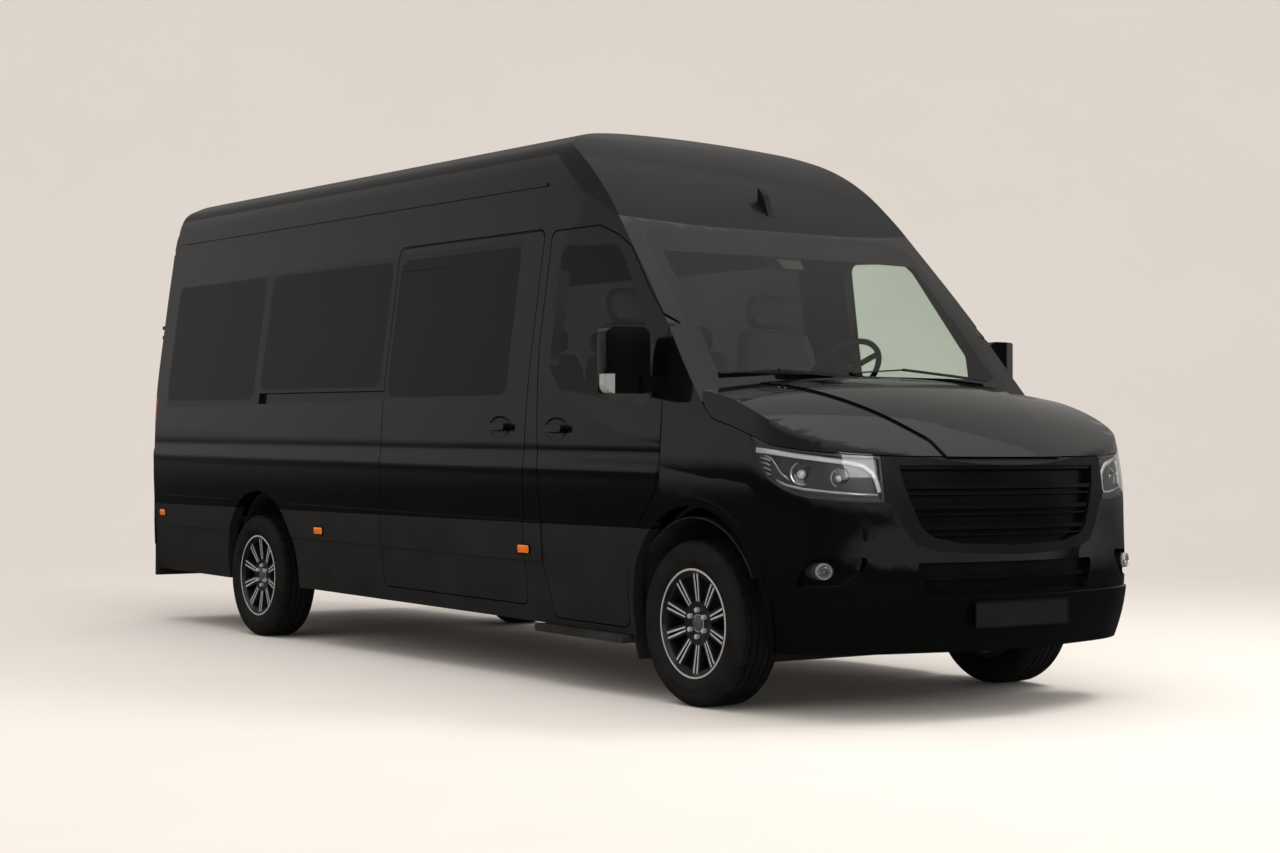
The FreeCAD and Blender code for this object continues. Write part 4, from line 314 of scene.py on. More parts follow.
# %% [markdown]
# ## Zones with another finish
# The lower body wears cladding, a gloss band joins the side panes, the windscreen has a black ceramic
# border, and each mirror's outer corner is a turn signal. A zone is a list of planes, each a point
# and the direction that leads inwards, taken from the boxes of the panes it follows.

# %% Zones
CLADDING_TOP = 0.755
FRIT_FOOT = 0.075
FRIT_HEAD = 0.105
FRIT_SIDE = 0.055
SCREEN_FOOT_HALF = 0.890
SCREEN_HEAD_HALF = 0.800
SIGNAL_DEPTH = 0.034
SIGNAL_HEIGHT = 0.085
SIGNAL_REACH = 0.115
glass_low, glass_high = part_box("side_glass")
door_pane_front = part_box("sliding_door_glass")[1].x
screen_low, screen_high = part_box("windscreen")
side_edge = Vector((0, SCREEN_HEAD_HALF - SCREEN_FOOT_HALF, screen_high.z - screen_low.z)).normalized()
BAND = [((glass_low.x, 0, 0), (1, 0, 0)), ((door_pane_front, 0, 0), (-1, 0, 0)),
        ((0, 0, glass_low.z), (0, 0, 1)), ((0, 0, glass_high.z), (0, 0, -1))]


def below(height):
    """The zone under a height."""
    return [((0, 0, height), (0, 0, -1))]


ZONES_OF_NODE = {"windscreen": [(FRIT, below(screen_low.z + FRIT_FOOT)),
                                (FRIT, [((0, 0, screen_high.z - FRIT_HEAD), (0, 0, 1))])]}
for hand in (1, -1):
    foot = (0, hand * (SCREEN_FOOT_HALF - FRIT_SIDE), screen_low.z)
    ZONES_OF_NODE["windscreen"].append((FRIT, [(foot, (0, hand * side_edge.z, -side_edge.y))]))
for node in ("side_right", "side_left", "sliding_door", "front_door_right", "front_door_left", "cab_frame"):
    ZONES_OF_NODE[node] = [(CLADDING, below(CLADDING_TOP))]
for node in ("side_right", "side_left", "sliding_door"):
    ZONES_OF_NODE[node].append((GLOSS_BAND, BAND))
for word, hand in SIDES:
    low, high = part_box("mirror_" + word)
    outer = max(abs(low.y), abs(high.y))
    ZONES_OF_NODE["mirror_" + word] = [(SILVER_LAMP, [((0, hand * (outer - SIGNAL_DEPTH), 0), (0, hand, 0)),
                                                      ((0, 0, low.z + SIGNAL_HEIGHT), (0, 0, -1)),
                                                      ((high.x - SIGNAL_REACH, 0, 0), (1, 0, 0))])]
print("zones on", sorted(ZONES_OF_NODE))

# %% [markdown]
# ## One finish for each node
# The record names a slot for each material of the real vehicle; a row gives a finish, a slot's name
# and its nodes. Only the bonnet is shaded over sharper bends, because its pressed creases are soft.

# %% Finishes of the visible nodes
FINISHES = (
    (SATIN, "body_paint", ("roof_panel", "roof_cap")),
    (PAINT, "body_paint", ("cab_frame", "side_right", "side_left", "sliding_door", "front_door_right",
                           "front_door_left", "rear_door_right", "rear_door_left", "rear_frame", "bonnet",
                           "wing_right", "wing_left", "front_bumper", "mirror_right", "mirror_left")),
    (TRIM, "trim_plastic", ("grille_surround", "steering_wheel", "wipers")),
    (GRILLE_BLACK, "trim_plastic", ("grille",)),
    (INTERIOR, "trim_plastic", ("dashboard",)),
    (CLADDING, "cladding", ("rear_bumper",)),
    (GLASS_CLEAR, "glass_clear", ("windscreen", "front_door_glass_right", "front_door_glass_left")),
    (GLASS_DARK, "glass_dark", ("side_glass", "sliding_door_glass", "rear_door_glass_right",
                                "rear_door_glass_left")),
    (LAMP_CLEAR, "lamp_clear", ("headlamps",)),
    (LAMP_DARK, "lamp_clear", ("lamp_units",)),
    (RED_LAMP, "lamp_red", ("tail_lamps",)),
    (UNDER, "chassis_black", ("underbody",)),
    (ALLOY_DARK, "alloy", ["rim_" + corner for corner in CORNERS]),
    (IRON, "disc_iron", ["brake_disc_" + corner for corner in CORNERS]),
)
dressed = set()
for material, slot_name, nodes in FINISHES:
    for node in nodes:
        smooth_node(node, material, BONNET_ANGLE if node == "bonnet" else PANEL_ANGLE)
        dressed.add(node)
print("smooth nodes", len(dressed))

# %% [markdown]
# ## Nodes that stay as they are
# The frame, axles and floor are rough black metal that hardly shows. They keep their CAD mesh.

# %% Finishes of the hidden nodes
hidden = [node for node in frame["nodes"] if node not in dressed]
for node in hidden:
    materials = frame["nodes"][node].data.materials
    materials.clear()
    materials.append(IRON if node.startswith("knuckle") else UNDER)
print("plain nodes", len(hidden))

# %% [markdown]
# ## Seats
# A seat is foam in a sewn cover, crowned and held in at its seams. Sculpting each one would take long,
# so one cab seat's cushion, back and head rest are filled by a short cloth simulation with pressure.
# How far a point may stray is capped, and it stays inside the CAD solid's box. The plinths stay hard.

# %% The soft pieces of a seat
SEAT_VOXEL = 0.014
SEAT_STRAY = 0.012
SEAT_PRESSURE = 4.0
SEAT_FRAMES = 20
BACK_TALL = 0.35
BACK_TOP = 0.60
REST_FOOT = 0.75
CUSHION_FOOT = 0.15
floor_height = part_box("front_seats")[0].z


def islands_of(node):
    """The separate closed pieces of a CAD node, each as points and faces."""
    work = welded(node)
    work.verts.ensure_lookup_table()
    work.verts.index_update()
    seen = set()
    found = []
    for seed in work.verts:
        if seed.index in seen:
            continue
        stack = [seed]
        seen.add(seed.index)
        members = []
        while stack:
            vert = stack.pop()
            members.append(vert)
            for edge in vert.link_edges:
                other = edge.other_vert(vert)
                if other.index not in seen:
                    seen.add(other.index)
                    stack.append(other)
        place = {vert.index: i for i, vert in enumerate(members)}
        faces = sorted({face for vert in members for face in vert.link_faces}, key=lambda face: face.index)
        found.append(([vert.co.copy() for vert in members],
                      [[place[vert.index] for vert in face.verts] for face in faces]))
    work.free()
    return found


def limits(points):
    """Lowest and highest corner of some points."""
    return (Vector([min(point[i] for point in points) for i in range(3)]),
            Vector([max(point[i] for point in points) for i in range(3)]))


def kind_of(points):
    """Plinth, cushion, back or head rest, from where a piece lies and how tall it is."""
    low, high = limits(points)
    if high.z - low.z > BACK_TALL and high.z > floor_height + BACK_TOP:
        return "back"
    if low.z > floor_height + REST_FOOT:
        return "rest"
    return "cushion" if low.z > floor_height + CUSHION_FOOT else "plinth"


def filled(points, faces, name):
    """A seat piece swollen by a cloth simulation, with its stray capped, and the box it came from."""
    mesh = bpy.data.meshes.new(name)
    mesh.from_pydata([tuple(point) for point in points], [], faces)
    pad = placed(name, mesh)
    remesh = pad.modifiers.new("Remesh", "REMESH")
    remesh.mode = "VOXEL"
    remesh.voxel_size = SEAT_VOXEL
    graph = bpy.context.evaluated_depsgraph_get()
    even = bpy.data.meshes.new_from_object(pad.evaluated_get(graph))
    pad.modifiers.remove(remesh)
    pad.data = even
    start = [vertex.co.copy() for vertex in even.vertices]
    swollen = start
    cloth = pad.modifiers.new("Cloth", "CLOTH")
    cloth.settings.use_pressure = True
    cloth.settings.uniform_pressure_force = SEAT_PRESSURE
    cloth.settings.effector_weights.gravity = 0.0
    cloth.settings.quality = 4
    cloth.point_cache.frame_start = 1
    cloth.point_cache.frame_end = SEAT_FRAMES
    for step in range(1, SEAT_FRAMES + 1):
        bpy.context.scene.frame_set(step)
    graph = bpy.context.evaluated_depsgraph_get()
    swollen = [vertex.co.copy() for vertex in pad.evaluated_get(graph).data.vertices]
    pad.modifiers.remove(cloth)
    bpy.context.scene.frame_set(1)
    low, high = limits(start)
    result = []
    for before, after in zip(start, swollen):
        move = after - before
        if move.length > SEAT_STRAY:
            move = move.normalized() * SEAT_STRAY
        point = before + move
        for i in range(3):
            point[i] = min(max(point[i], low[i]), high[i])
        result.append(point)
    polygons = [list(polygon.vertices) for polygon in even.polygons]
    bpy.data.objects.remove(pad)
    return result, polygons, low, high


models = {}
for points, faces in islands_of("front_seats"):
    kind = kind_of(points)
    if kind != "plinth" and kind not in models:
        models[kind] = filled(points, faces, "seat_model_" + kind)
print({kind: len(model[0]) for kind, model in models.items()})

# %% [markdown]
# ## A padded copy for each seat
# Each CAD cushion, back and head rest gets the filled one, fitted to its own box. A real cover is
# sewn in two lengthwise channels, and a back narrows towards its shoulders, so both are added here.

# %% Padded seats
SEAM_DEPTH = 0.006
SEAM_PLACE = 0.30
SEAM_HALF = 0.022
CUSHION_TOP = 0.75
BACK_FRONT = 0.20
REST_TAPER = 0.30
TAPERS = {"back": (0.26, 2, 0.62), "cushion": (0.10, 0, 0.70)}


def seam(point, low, high):
    """How far a point of a cushion or back is sewn in, by its place across the seat."""
    across = abs((point.y - (low.y + high.y) / 2) / (high.y - low.y))
    return SEAM_DEPTH * max(0.0, 1 - abs(across - SEAM_PLACE) / SEAM_HALF)


def narrowing(kind, share):
    """How much narrower a pad is towards its top, its foot or its front."""
    if kind == "rest":
        return 1 - REST_TAPER * abs(2 * share[2] - 1) ** 3
    taper, axis, start = TAPERS[kind]
    return 1 - taper * max(0.0, (share[axis] - start) / (1 - start)) ** 2


def fitted(kind, points):
    """The filled model of a kind, fitted to the box of some points, sewn and narrowed."""
    model_points, faces, low, high = models[kind]
    to_low, to_high = limits(points)
    middle = (to_low.y + to_high.y) / 2
    result = []
    for point in model_points:
        share = [(point[i] - low[i]) / (high[i] - low[i]) for i in range(3)]
        spot = Vector([to_low[i] + share[i] * (to_high[i] - to_low[i]) for i in range(3)])
        if kind == "cushion" and share[2] > CUSHION_TOP:
            spot.z -= seam(spot, to_low, to_high)
        if kind == "back" and share[0] > BACK_FRONT:
            spot.x -= seam(spot, to_low, to_high)
        spot.y = middle + (spot.y - middle) * narrowing(kind, share)
        result.append(spot)
    return result, faces


for node in ("front_seats", "seats_right", "seats_left"):
    groups = {"pads": ([], []), "plinths": ([], [])}
    for points, faces in islands_of(node):
        kind = kind_of(points)
        if kind != "plinth":
            points, faces = fitted(kind, points)
        all_points, all_faces = groups["plinths" if kind == "plinth" else "pads"]
        all_faces += [[len(all_points) + i for i in face] for face in faces]
        all_points += points
    for label, material in (("pads", FABRIC), ("plinths", INTERIOR)):
        points, faces = groups[label]
        mesh = bpy.data.meshes.new(node + "_" + label)
        mesh.from_pydata([tuple(point) for point in points], [], faces)
        if label == "pads":
            mesh.polygons.foreach_set("use_smooth", [True] * len(mesh.polygons))
        piece = bind_piece(mesh, node + "_" + label, "root", material)
        if label == "pads":
            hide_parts(node)
    print(node, "pad faces", len(groups["pads"][1]))

# %% [markdown]
# ## Turned and closed shapes
# Wheels and lamps are turned parts, so one helper spins a closed section about the Y axis. Others close
# two rings of points into a plate, join sections of four corners into a strip, and aim a shape.

# %% Helpers for new pieces
def finished(work, name, angle=None):
    """Turns a bmesh into a mesh with outward normals, smooth below an angle if one is given."""
    if angle:
        soften(work, angle)
    bmesh.ops.recalc_face_normals(work, faces=work.faces)
    return meshed(work, name)


def faces_of(made):
    """The faces that touch the points of a newly made shape."""
    return {face for vert in made["verts"] for face in vert.link_faces}


def spun(work, section, steps, material_index=0):
    """Turns a closed section of (radius, along) points once about the Y axis."""
    ring = [work.verts.new((radius, along, 0)) for radius, along in section]
    edges = [work.edges.new((ring[i], ring[(i + 1) % len(ring)])) for i in range(len(ring))]
    before = set(work.faces)
    bmesh.ops.spin(work, geom=ring + edges, cent=(0, 0, 0), axis=(0, 1, 0), steps=steps,
                   angle=2 * math.pi, use_merge=True)
    bmesh.ops.remove_doubles(work, verts=work.verts, dist=TOLERANCE)
    for face in work.faces:
        if face not in before:
            face.material_index = material_index


def closed_plate(work, front, back):
    """Closes two rings of points into a solid and returns its front face."""
    front = [work.verts.new(point) for point in front]
    back = [work.verts.new(point) for point in back]
    face = work.faces.new(front)
    work.faces.new(back[::-1])
    for i in range(len(front)):
        following = (i + 1) % len(front)
        work.faces.new((front[i], back[i], back[following], front[following]))
    return face


def inset_steps(work, face, steps):
    """Insets a plate's face step by step, each by a width, a height and the slot that it gets."""
    bmesh.ops.recalc_face_normals(work, faces=work.faces)
    for width, height, slot in steps:
        bmesh.ops.inset_region(work, faces=[face], thickness=width, depth=height)
        face.material_index = slot


def closed_strip(work, rows, material_index=0):
    """Joins sections of four corners into one closed strip."""
    verts = [[work.verts.new(corner) for corner in row] for row in rows]
    made = [work.faces.new(verts[0]), work.faces.new(verts[-1])]
    for here, after in zip(verts, verts[1:]):
        made += [work.faces.new((here[k], here[(k + 1) % 4], after[(k + 1) % 4], after[k])) for k in range(4)]
    for face in made:
        face.material_index = material_index


def bar(work, place, sizes, material_index=0):
    """A small box of three sizes at a place."""
    made = bmesh.ops.create_cube(work, size=1.0, matrix=place @ Matrix.Diagonal((*sizes, 1)))
    for face in faces_of(made):
        face.material_index = material_index


def aimed(work, centre, outward):
    """Moves a whole bmesh to a centre, with its Y axis along a direction."""
    turn = Vector((0, 1, 0)).rotation_difference(outward).to_matrix().to_4x4()
    bmesh.ops.transform(work, matrix=Matrix.Translation(centre) @ turn, verts=work.verts)


def wheel_matrix(corner):
    """The place of a wheel: its own Y axis points outboard."""
    side = -1 if corner.endswith("right") else 1
    x = AXLE_X if corner.startswith("front") else AXLE_X - WHEELBASE
    turn = Matrix.Rotation(math.pi, 4, "Z") if side < 0 else Matrix.Identity(4)
    return Matrix.Translation((x, side * HALF_TRACK, TYRE_RADIUS)) @ turn


print("helpers ready")

# %% [markdown]
# ## Tyres
# A tyre is moulded in a ring, so it is turned from a section: a round sidewall, a raised rim guard and
# four grooves. Then every fourth shoulder block is sunk. Bump alone would leave its outline smooth.

# %% Tyres
BEAD_RADIUS = 0.2263
GROOVE_DEPTH = 0.008
GROOVE_HALF = 0.0045
GROOVE_FOOT_SHARE = 0.7
GROOVE_PLACES = (-0.053, -0.019, 0.019, 0.053)
TREAD_HALF = 0.080
TREAD_STEPS = 112
SHOULDER_END = 0.089
SHOULDER_RADIUS = 0.350
SHOULDER_CUT = 0.005
CUT_EVERY = 4
SIDEWALL = [(BEAD_RADIUS, 0.0915), (0.232, 0.0930), (0.2405, 0.0975), (0.248, 0.1045), (0.262, 0.1125),
            (0.277, 0.1172), (0.292, 0.1175), (0.296, 0.1160), (0.299, 0.1172), (0.315, 0.1155),
            (0.330, 0.1115), (0.341, 0.1050), (0.349, 0.0965), (0.3545, 0.0880), (TYRE_RADIUS, TREAD_HALF)]


def tyre_section():
    """The sidewall from bead to shoulder, the grooves, and the sidewall mirrored."""
    foot_half = GROOVE_HALF * GROOVE_FOOT_SHARE
    tread = []
    for place in reversed(GROOVE_PLACES):
        tread += [(TYRE_RADIUS, place + GROOVE_HALF), (TYRE_RADIUS - GROOVE_DEPTH, place + foot_half),
                  (TYRE_RADIUS - GROOVE_DEPTH, place - foot_half), (TYRE_RADIUS, place - GROOVE_HALF)]
    return SIDEWALL + tread + [(radius, -along) for radius, along in reversed(SIDEWALL)]


def tyre_mesh(name):
    """A tyre with circumferential grooves and cut shoulder blocks."""
    work = bmesh.new()
    spun(work, tyre_section(), TREAD_STEPS)
    shoulder = []
    for face in work.faces:
        middle = face.calc_center_median()
        column = int((math.atan2(middle.z, middle.x) / (2 * math.pi) + 1) * TREAD_STEPS)
        on_shoulder = (GROOVE_PLACES[-1] + GROOVE_HALF < abs(middle.y) < SHOULDER_END
                       and math.hypot(middle.x, middle.z) > SHOULDER_RADIUS)
        if on_shoulder and column % CUT_EVERY == 0:
            shoulder.append(face)
    cut = bmesh.ops.extrude_face_region(work, geom=shoulder)
    for vert in (element for element in cut["geom"] if isinstance(element, bmesh.types.BMVert)):
        reach = math.hypot(vert.co.x, vert.co.z)
        vert.co.x *= (reach - SHOULDER_CUT) / reach
        vert.co.z *= (reach - SHOULDER_CUT) / reach
    bmesh.ops.delete(work, geom=shoulder, context="FACES")
    return finished(work, name, 32)


for corner in CORNERS:
    mesh = tyre_mesh("tyre_tread_" + corner)
    mesh.transform(wheel_matrix(corner))
    tyre = bind_piece(mesh, "tyre_tread_" + corner, "wheel_" + corner, RUBBER)
    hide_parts("tyre_" + corner)
print("tyre triangles", sum(len(polygon.vertices) - 2 for polygon in mesh.polygons))

# %% [markdown]
# ## Rim faces, bolts and caps
# These rims are painted dark and then machined, so only the edges of each spoke and the outer ring
# shine. Thin bright strips laid on the CAD rim give that sharp border between dark and bright, which
# a painted mask could blur. Six bolts and a plain cap without a badge fill the hub.

# %% Bright rim faces
DISH_IN = (0.085, 0.070)
DISH_OUT = (0.214, 0.084)
RING_PLANE = 0.100
STRIP_LIFT = 0.0005
STRIP_WALL = 0.0009
SPOKES = 10
STRIP_RUNS = ((0.094, 0.0040, 0.0108), (0.150, 0.0054, 0.0136), (DISH_OUT[0], 0.0072, 0.0168))
STRIP_END = (0.2235, 0.0076, 0.0174)
RING_SECTION = ((0.2275, -0.0004), (0.2285, 0.0014), (0.2350, 0.0014), (0.2372, -0.0004), (0.2350, -0.0010))


def dish_plane(radius):
    """How far outboard the rim's dished face lies at a radius."""
    share = (radius - DISH_IN[0]) / (DISH_OUT[0] - DISH_IN[0])
    return DISH_IN[1] + share * (DISH_OUT[1] - DISH_IN[1])


def rim_face_mesh(name):
    """Two thin machined strips on each spoke, joined to a bright ring."""
    work = bmesh.new()
    runs = [(run, dish_plane(run[0]) + STRIP_LIFT) for run in STRIP_RUNS]
    runs.append((STRIP_END, RING_PLANE + STRIP_LIFT))
    for hand in (-1, 1):
        verts = [[work.verts.new((hand * across, plane, radius)) for across in (near, away)]
                 for (radius, near, away), plane in runs]
        strip = [work.faces.new((*here, *reversed(after))) for here, after in zip(verts, verts[1:])]
        bmesh.ops.solidify(work, geom=strip, thickness=STRIP_WALL)
    bmesh.ops.spin(work, geom=work.verts[:] + work.edges[:] + work.faces[:], cent=(0, 0, 0), axis=(0, 1, 0),
                   steps=SPOKES - 1, angle=2 * math.pi * (SPOKES - 1) / SPOKES, use_duplicate=True)
    spun(work, [(radius, RING_PLANE + lift) for radius, lift in RING_SECTION], 120)
    return finished(work, name, 30)


print("rim face ready")

# %% Bolts and caps
CAP_SECTION = [(0.0, 0.0800), (0.012, 0.0796), (0.026, 0.0780), (0.0305, 0.0762), (0.0325, 0.0730),
               (0.0330, 0.0660), (0.0, 0.0660)]
CAP_RING = [(0.0345, 0.0662), (0.0350, 0.0690), (0.0385, 0.0690), (0.0390, 0.0662)]
BOLTS = 6
BOLT_CIRCLE = 0.0575
BOLT_PLANE = 0.0760
BOLT_FOOT = 0.0115
BOLT_HEAD = 0.0108
BOLT_LONG = 0.0170
BOLT_BEVEL = 0.0022
BOLT_CROWN = 0.0014


def hub_mesh(name):
    """A plain domed cap among six bolts."""
    work = bmesh.new()
    spun(work, CAP_SECTION, 48, 0)
    spun(work, CAP_RING, 48, 1)
    outboard = Matrix.Rotation(math.radians(-90), 4, "X")
    for i in range(BOLTS):
        angle = math.radians(360 / BOLTS * i + 30)
        place = Matrix.Translation((BOLT_CIRCLE * math.cos(angle), BOLT_PLANE, BOLT_CIRCLE * math.sin(angle)))
        bolt = bmesh.ops.create_cone(work, cap_ends=True, segments=6, radius1=BOLT_FOOT, radius2=BOLT_HEAD,
                                     depth=BOLT_LONG, matrix=place @ outboard)
        faces = faces_of(bolt)
        ends = [face for face in faces if len(face.verts) == 6]
        bmesh.ops.inset_region(work, faces=ends, thickness=BOLT_BEVEL, depth=BOLT_CROWN)
        for face in faces_of(bolt) | faces:
            if face.is_valid:
                face.material_index = 1
    return finished(work, name, 30)


for corner in CORNERS:
    place = wheel_matrix(corner)
    face_mesh = rim_face_mesh("rim_face_" + corner)
    face_mesh.transform(place)
    bind_piece(face_mesh, "rim_face_" + corner, "wheel_" + corner, ALLOY_BRIGHT)
    cap_mesh = hub_mesh("hub_cap_" + corner)
    cap_mesh.transform(place)
    bind_piece(cap_mesh, "hub_cap_" + corner, "wheel_" + corner, (ALLOY_SATIN, ALLOY_BRIGHT))
print("rim face triangles", sum(len(polygon.vertices) - 2 for polygon in face_mesh.polygons))

# %% [markdown]
# ## Surfaces to build on
# Lamps, markers and louvres follow the curve of the panel that carries them. Typed points would float
# or sink, so each point is found on the CAD mesh by a search tree, and then moved in or out.

# %% Surface helpers
OUTSIDE = 1.6
NEAR_SIDE = 1.1
LEAST_HALF = 0.9


def surface_of(*nodes):
    """A search tree over the meshes of some CAD nodes."""
    points = []
    polygons = []
    for node in nodes:
        mesh = frame["nodes"][node].data
        start = len(points)
        points += [vertex.co.copy() for vertex in mesh.vertices]
        polygons += [[start + index for index in polygon.vertices] for polygon in mesh.polygons]
    return BVHTree.FromPolygons(points, polygons)


def side_point(tree, x, z, hand):
    """Where a line across the vehicle first meets its side, or the nearest place beside a gap."""
    point = tree.ray_cast(Vector((x, hand * OUTSIDE, z)), Vector((0, -hand, 0)))[0]
    if point is None or abs(point.y) < LEAST_HALF:
        point = tree.find_nearest(Vector((x, hand * NEAR_SIDE, z)))[0]
    return Vector((x, point.y, z))


def ribbon(work, tree, route, width, depth, thickness, material_index=0):
    """A strip that follows a surface at a depth behind it, along a route of points."""
    spots = []
    for point in route:
        place, normal, _, _ = tree.find_nearest(Vector(point))
        if normal.dot(Vector((1, math.copysign(1, place.y), 0.3))) < 0:
            normal = -normal
        spots.append((place, normal))
    rows = []
    for i, (place, normal) in enumerate(spots):
        ahead = spots[min(i + 1, len(spots) - 1)][0]
        behind = spots[max(i - 1, 0)][0]
        across = (ahead - behind).cross(normal).normalized() * (width / 2)
        base = place - normal * depth
        rows.append((base - across, base + across, base + across - normal * thickness,
                     base - across - normal * thickness))
    closed_strip(work, rows, material_index)


def relative(points, hand):
    """Points of the right side given from the front axle, in the frame, and mirrored for the left."""
    return [(AXLE_X + x, -hand * y, z) for x, y, z in points]


print("surface helpers ready")

# %% [markdown]
# ## Headlamps
# Behind the clear lens lie a white light guide that runs round the lamp, a bright lower edge, four
# ribs at the outer end, and two turned reflectors with a bulb cover. They are real shapes and not a
# picture, so they shift behind the lens as the view moves.

# %% Headlamp reflectors
BOWLS = [((0.695, -0.925, 1.008), 0.047), ((0.788, -0.798, 0.988), 0.038)]
BOWL_DEPTH = 0.030
BOWL_WALL = ((1, 0.003, 0.004), (1, 0.001, 0.0065), (1, -0.003, 0.0055), (0.80, 0, -0.006), (0.78, 0, -0.0075),
             (0.48, 0, -0.019), (0.46, 0, -0.021), (0.46, 0, -0.024), (0.85, 0, -0.010), (1, 0.003, -0.002))
BULB_COVER = ((0, 0, 0.001), (0.22, 0, -0.0015), (0.38, 0, -0.008), (0.44, 0, -0.018), (0.44, 0, -0.023),
              (0, 0, -0.023))
GUIDE_SLOT, BRIGHT_SLOT, BULB_SLOT = 0, 1, 2
FINS = 6
FIN_CENTRE_SHARE = 0.66
FIN_LONG_SHARE = 0.30
FIN_DEPTH = 0.010
FIN_PLANE = -0.0105
FIN_WALL = 0.0016


def shared_section(rows, radius):
    """A section whose points are a share of a radius, plus a step, at a place along the axis."""
    return [(radius * share + step, along) for share, step, along in rows]


def add_bowl(whole, centre, outward, radius):
    """Adds a bright reflector with a rim, a stepped wall, fins and a bulb cover in its middle."""
    work = bmesh.new()
    spun(work, shared_section(BOWL_WALL, radius), 40, BRIGHT_SLOT)
    spun(work, shared_section(BULB_COVER, radius), 32, BULB_SLOT)
    reach = radius * FIN_CENTRE_SHARE
    for i in range(FINS):
        angle = math.radians(360 / FINS * i)
        place = Matrix.Translation((reach * math.cos(angle), FIN_PLANE, reach * math.sin(angle)))
        bar(work, place @ Matrix.Rotation(-angle, 4, "Y"), (radius * FIN_LONG_SHARE, FIN_DEPTH, FIN_WALL),
            BRIGHT_SLOT)
    aimed(work, centre, outward)
    part = finished(work, "reflector")
    whole.from_mesh(part)
    bpy.data.meshes.remove(part)


print("reflector ready")

# %% Light guide, ribs and edges
LENS_DEPTH = 0.0075
RIBBON_WALL = 0.003
GUIDE_WIDTH = 0.021
EDGE_WIDTH = 0.011
SWEEP_WIDTH = 0.007
RIB_WIDTH = 0.006
GUIDE = [(0.475, -0.999, 1.101), (0.530, -0.992, 1.097), (0.585, -0.980, 1.091), (0.640, -0.952, 1.083),
         (0.690, -0.905, 1.073), (0.740, -0.842, 1.063), (0.785, -0.765, 1.052), (0.812, -0.705, 1.038),
         (0.832, -0.668, 1.008), (0.845, -0.655, 0.968), (0.853, -0.650, 0.930)]
LOWER_EDGE = [(0.590, -0.985, 0.978), (0.635, -0.968, 0.958), (0.690, -0.925, 0.943), (0.745, -0.865, 0.934),
              (0.795, -0.790, 0.926), (0.832, -0.715, 0.921), (0.850, -0.658, 0.920)]
SWEEP = [(0.530, -0.997, 1.080), (0.566, -0.992, 1.066), (0.590, -0.987, 1.040), (0.612, -0.980, 1.010),
         (0.645, -0.963, 0.980)]
RIBS = [[(0.497, -0.999, height), (0.530, -0.997, height - 0.003), (0.560, -0.993, height - 0.012)]
        for height in (1.070, 1.051, 1.032, 1.013)]


def headlamp_inside(name, hand):
    """Light guide, bright lower edge, ribs and the two reflectors of one headlamp."""
    tree = surface_of("headlamps")
    work = bmesh.new()
    for place, radius in BOWLS:
        spot, normal, _, _ = tree.find_nearest(Vector(relative([place], hand)[0]))
        if normal.x < 0:
            normal = -normal
        outward = (normal + Vector((0.5, 0, 0))).normalized()
        add_bowl(work, spot - outward * BOWL_DEPTH, outward, radius)
    strips = [(GUIDE, GUIDE_WIDTH, GUIDE_SLOT), (LOWER_EDGE, EDGE_WIDTH, BRIGHT_SLOT),
              (SWEEP, SWEEP_WIDTH, BRIGHT_SLOT)] + [(rib, RIB_WIDTH, BRIGHT_SLOT) for rib in RIBS]
    for route, width, slot in strips:
        ribbon(work, tree, relative(route, hand), width, LENS_DEPTH, RIBBON_WALL, slot)
    return finished(work, name, 40)


for word, hand in SIDES:
    mesh = headlamp_inside("headlamp_inside_" + word, hand)
    bind_piece(mesh, "headlamp_inside_" + word, "root", (LAMP_WHITE, LAMP_SILVER, LAMP_WHITE))
print("headlamp faces", len(mesh.polygons))

# %% [markdown]
# ## Fog lamps
# A small round lamp in the bumper: a turned bowl with a rim, ribs across it and a domed lens.

# %% Fog lamps
FOG_PLACE = (0.772, 0.878, 0.612)
FOG_AIM = (0.90, 0.42)
FOG_BOWL = [(0.0, -0.020), (0.016, -0.018), (0.027, -0.006), (0.0285, 0.002), (0.0305, 0.0045),
            (0.0325, 0.002), (0.0325, -0.024), (0.0, -0.026)]
FOG_LENS = [(0.0, 0.0075), (0.012, 0.0068), (0.022, 0.0046), (0.0278, 0.0012), (0.0270, -0.0006),
            (0.012, 0.0050), (0.0, 0.0057)]
FOG_BAR = (0.040, 0.010, 0.0012)
FOG_BAR_PLANE = -0.010


def fog_mesh(name, hand):
    """A round fog lamp with a bright bowl and a clear domed lens, aimed forward and a little out."""
    work = bmesh.new()
    spun(work, FOG_BOWL, 48, 0)
    spun(work, FOG_LENS, 48, 1)
    for angle in range(0, 180, 30):
        turn = Matrix.Rotation(math.radians(angle), 4, "Y")
        bar(work, turn @ Matrix.Translation((0, FOG_BAR_PLANE, 0)), FOG_BAR)
    outward = Vector((FOG_AIM[0], hand * FOG_AIM[1], 0.0)).normalized()
    aimed(work, (AXLE_X + FOG_PLACE[0], hand * FOG_PLACE[1], FOG_PLACE[2]), outward)
    return finished(work, name, 40)


for word, hand in SIDES:
    bind_piece(fog_mesh("fog_lamp_" + word, hand), "fog_lamp_" + word, "root", (LAMP_SILVER, LAMP_CLEAR))
print("fog lamps made")

# %% [markdown]
# ## Side markers and handle dishes
# Both are small plates on the curved side. A plate's outline is found point by point on the side, and
# its face is then inset in steps: a frame, a groove and a domed cover, or the dish behind a handle.

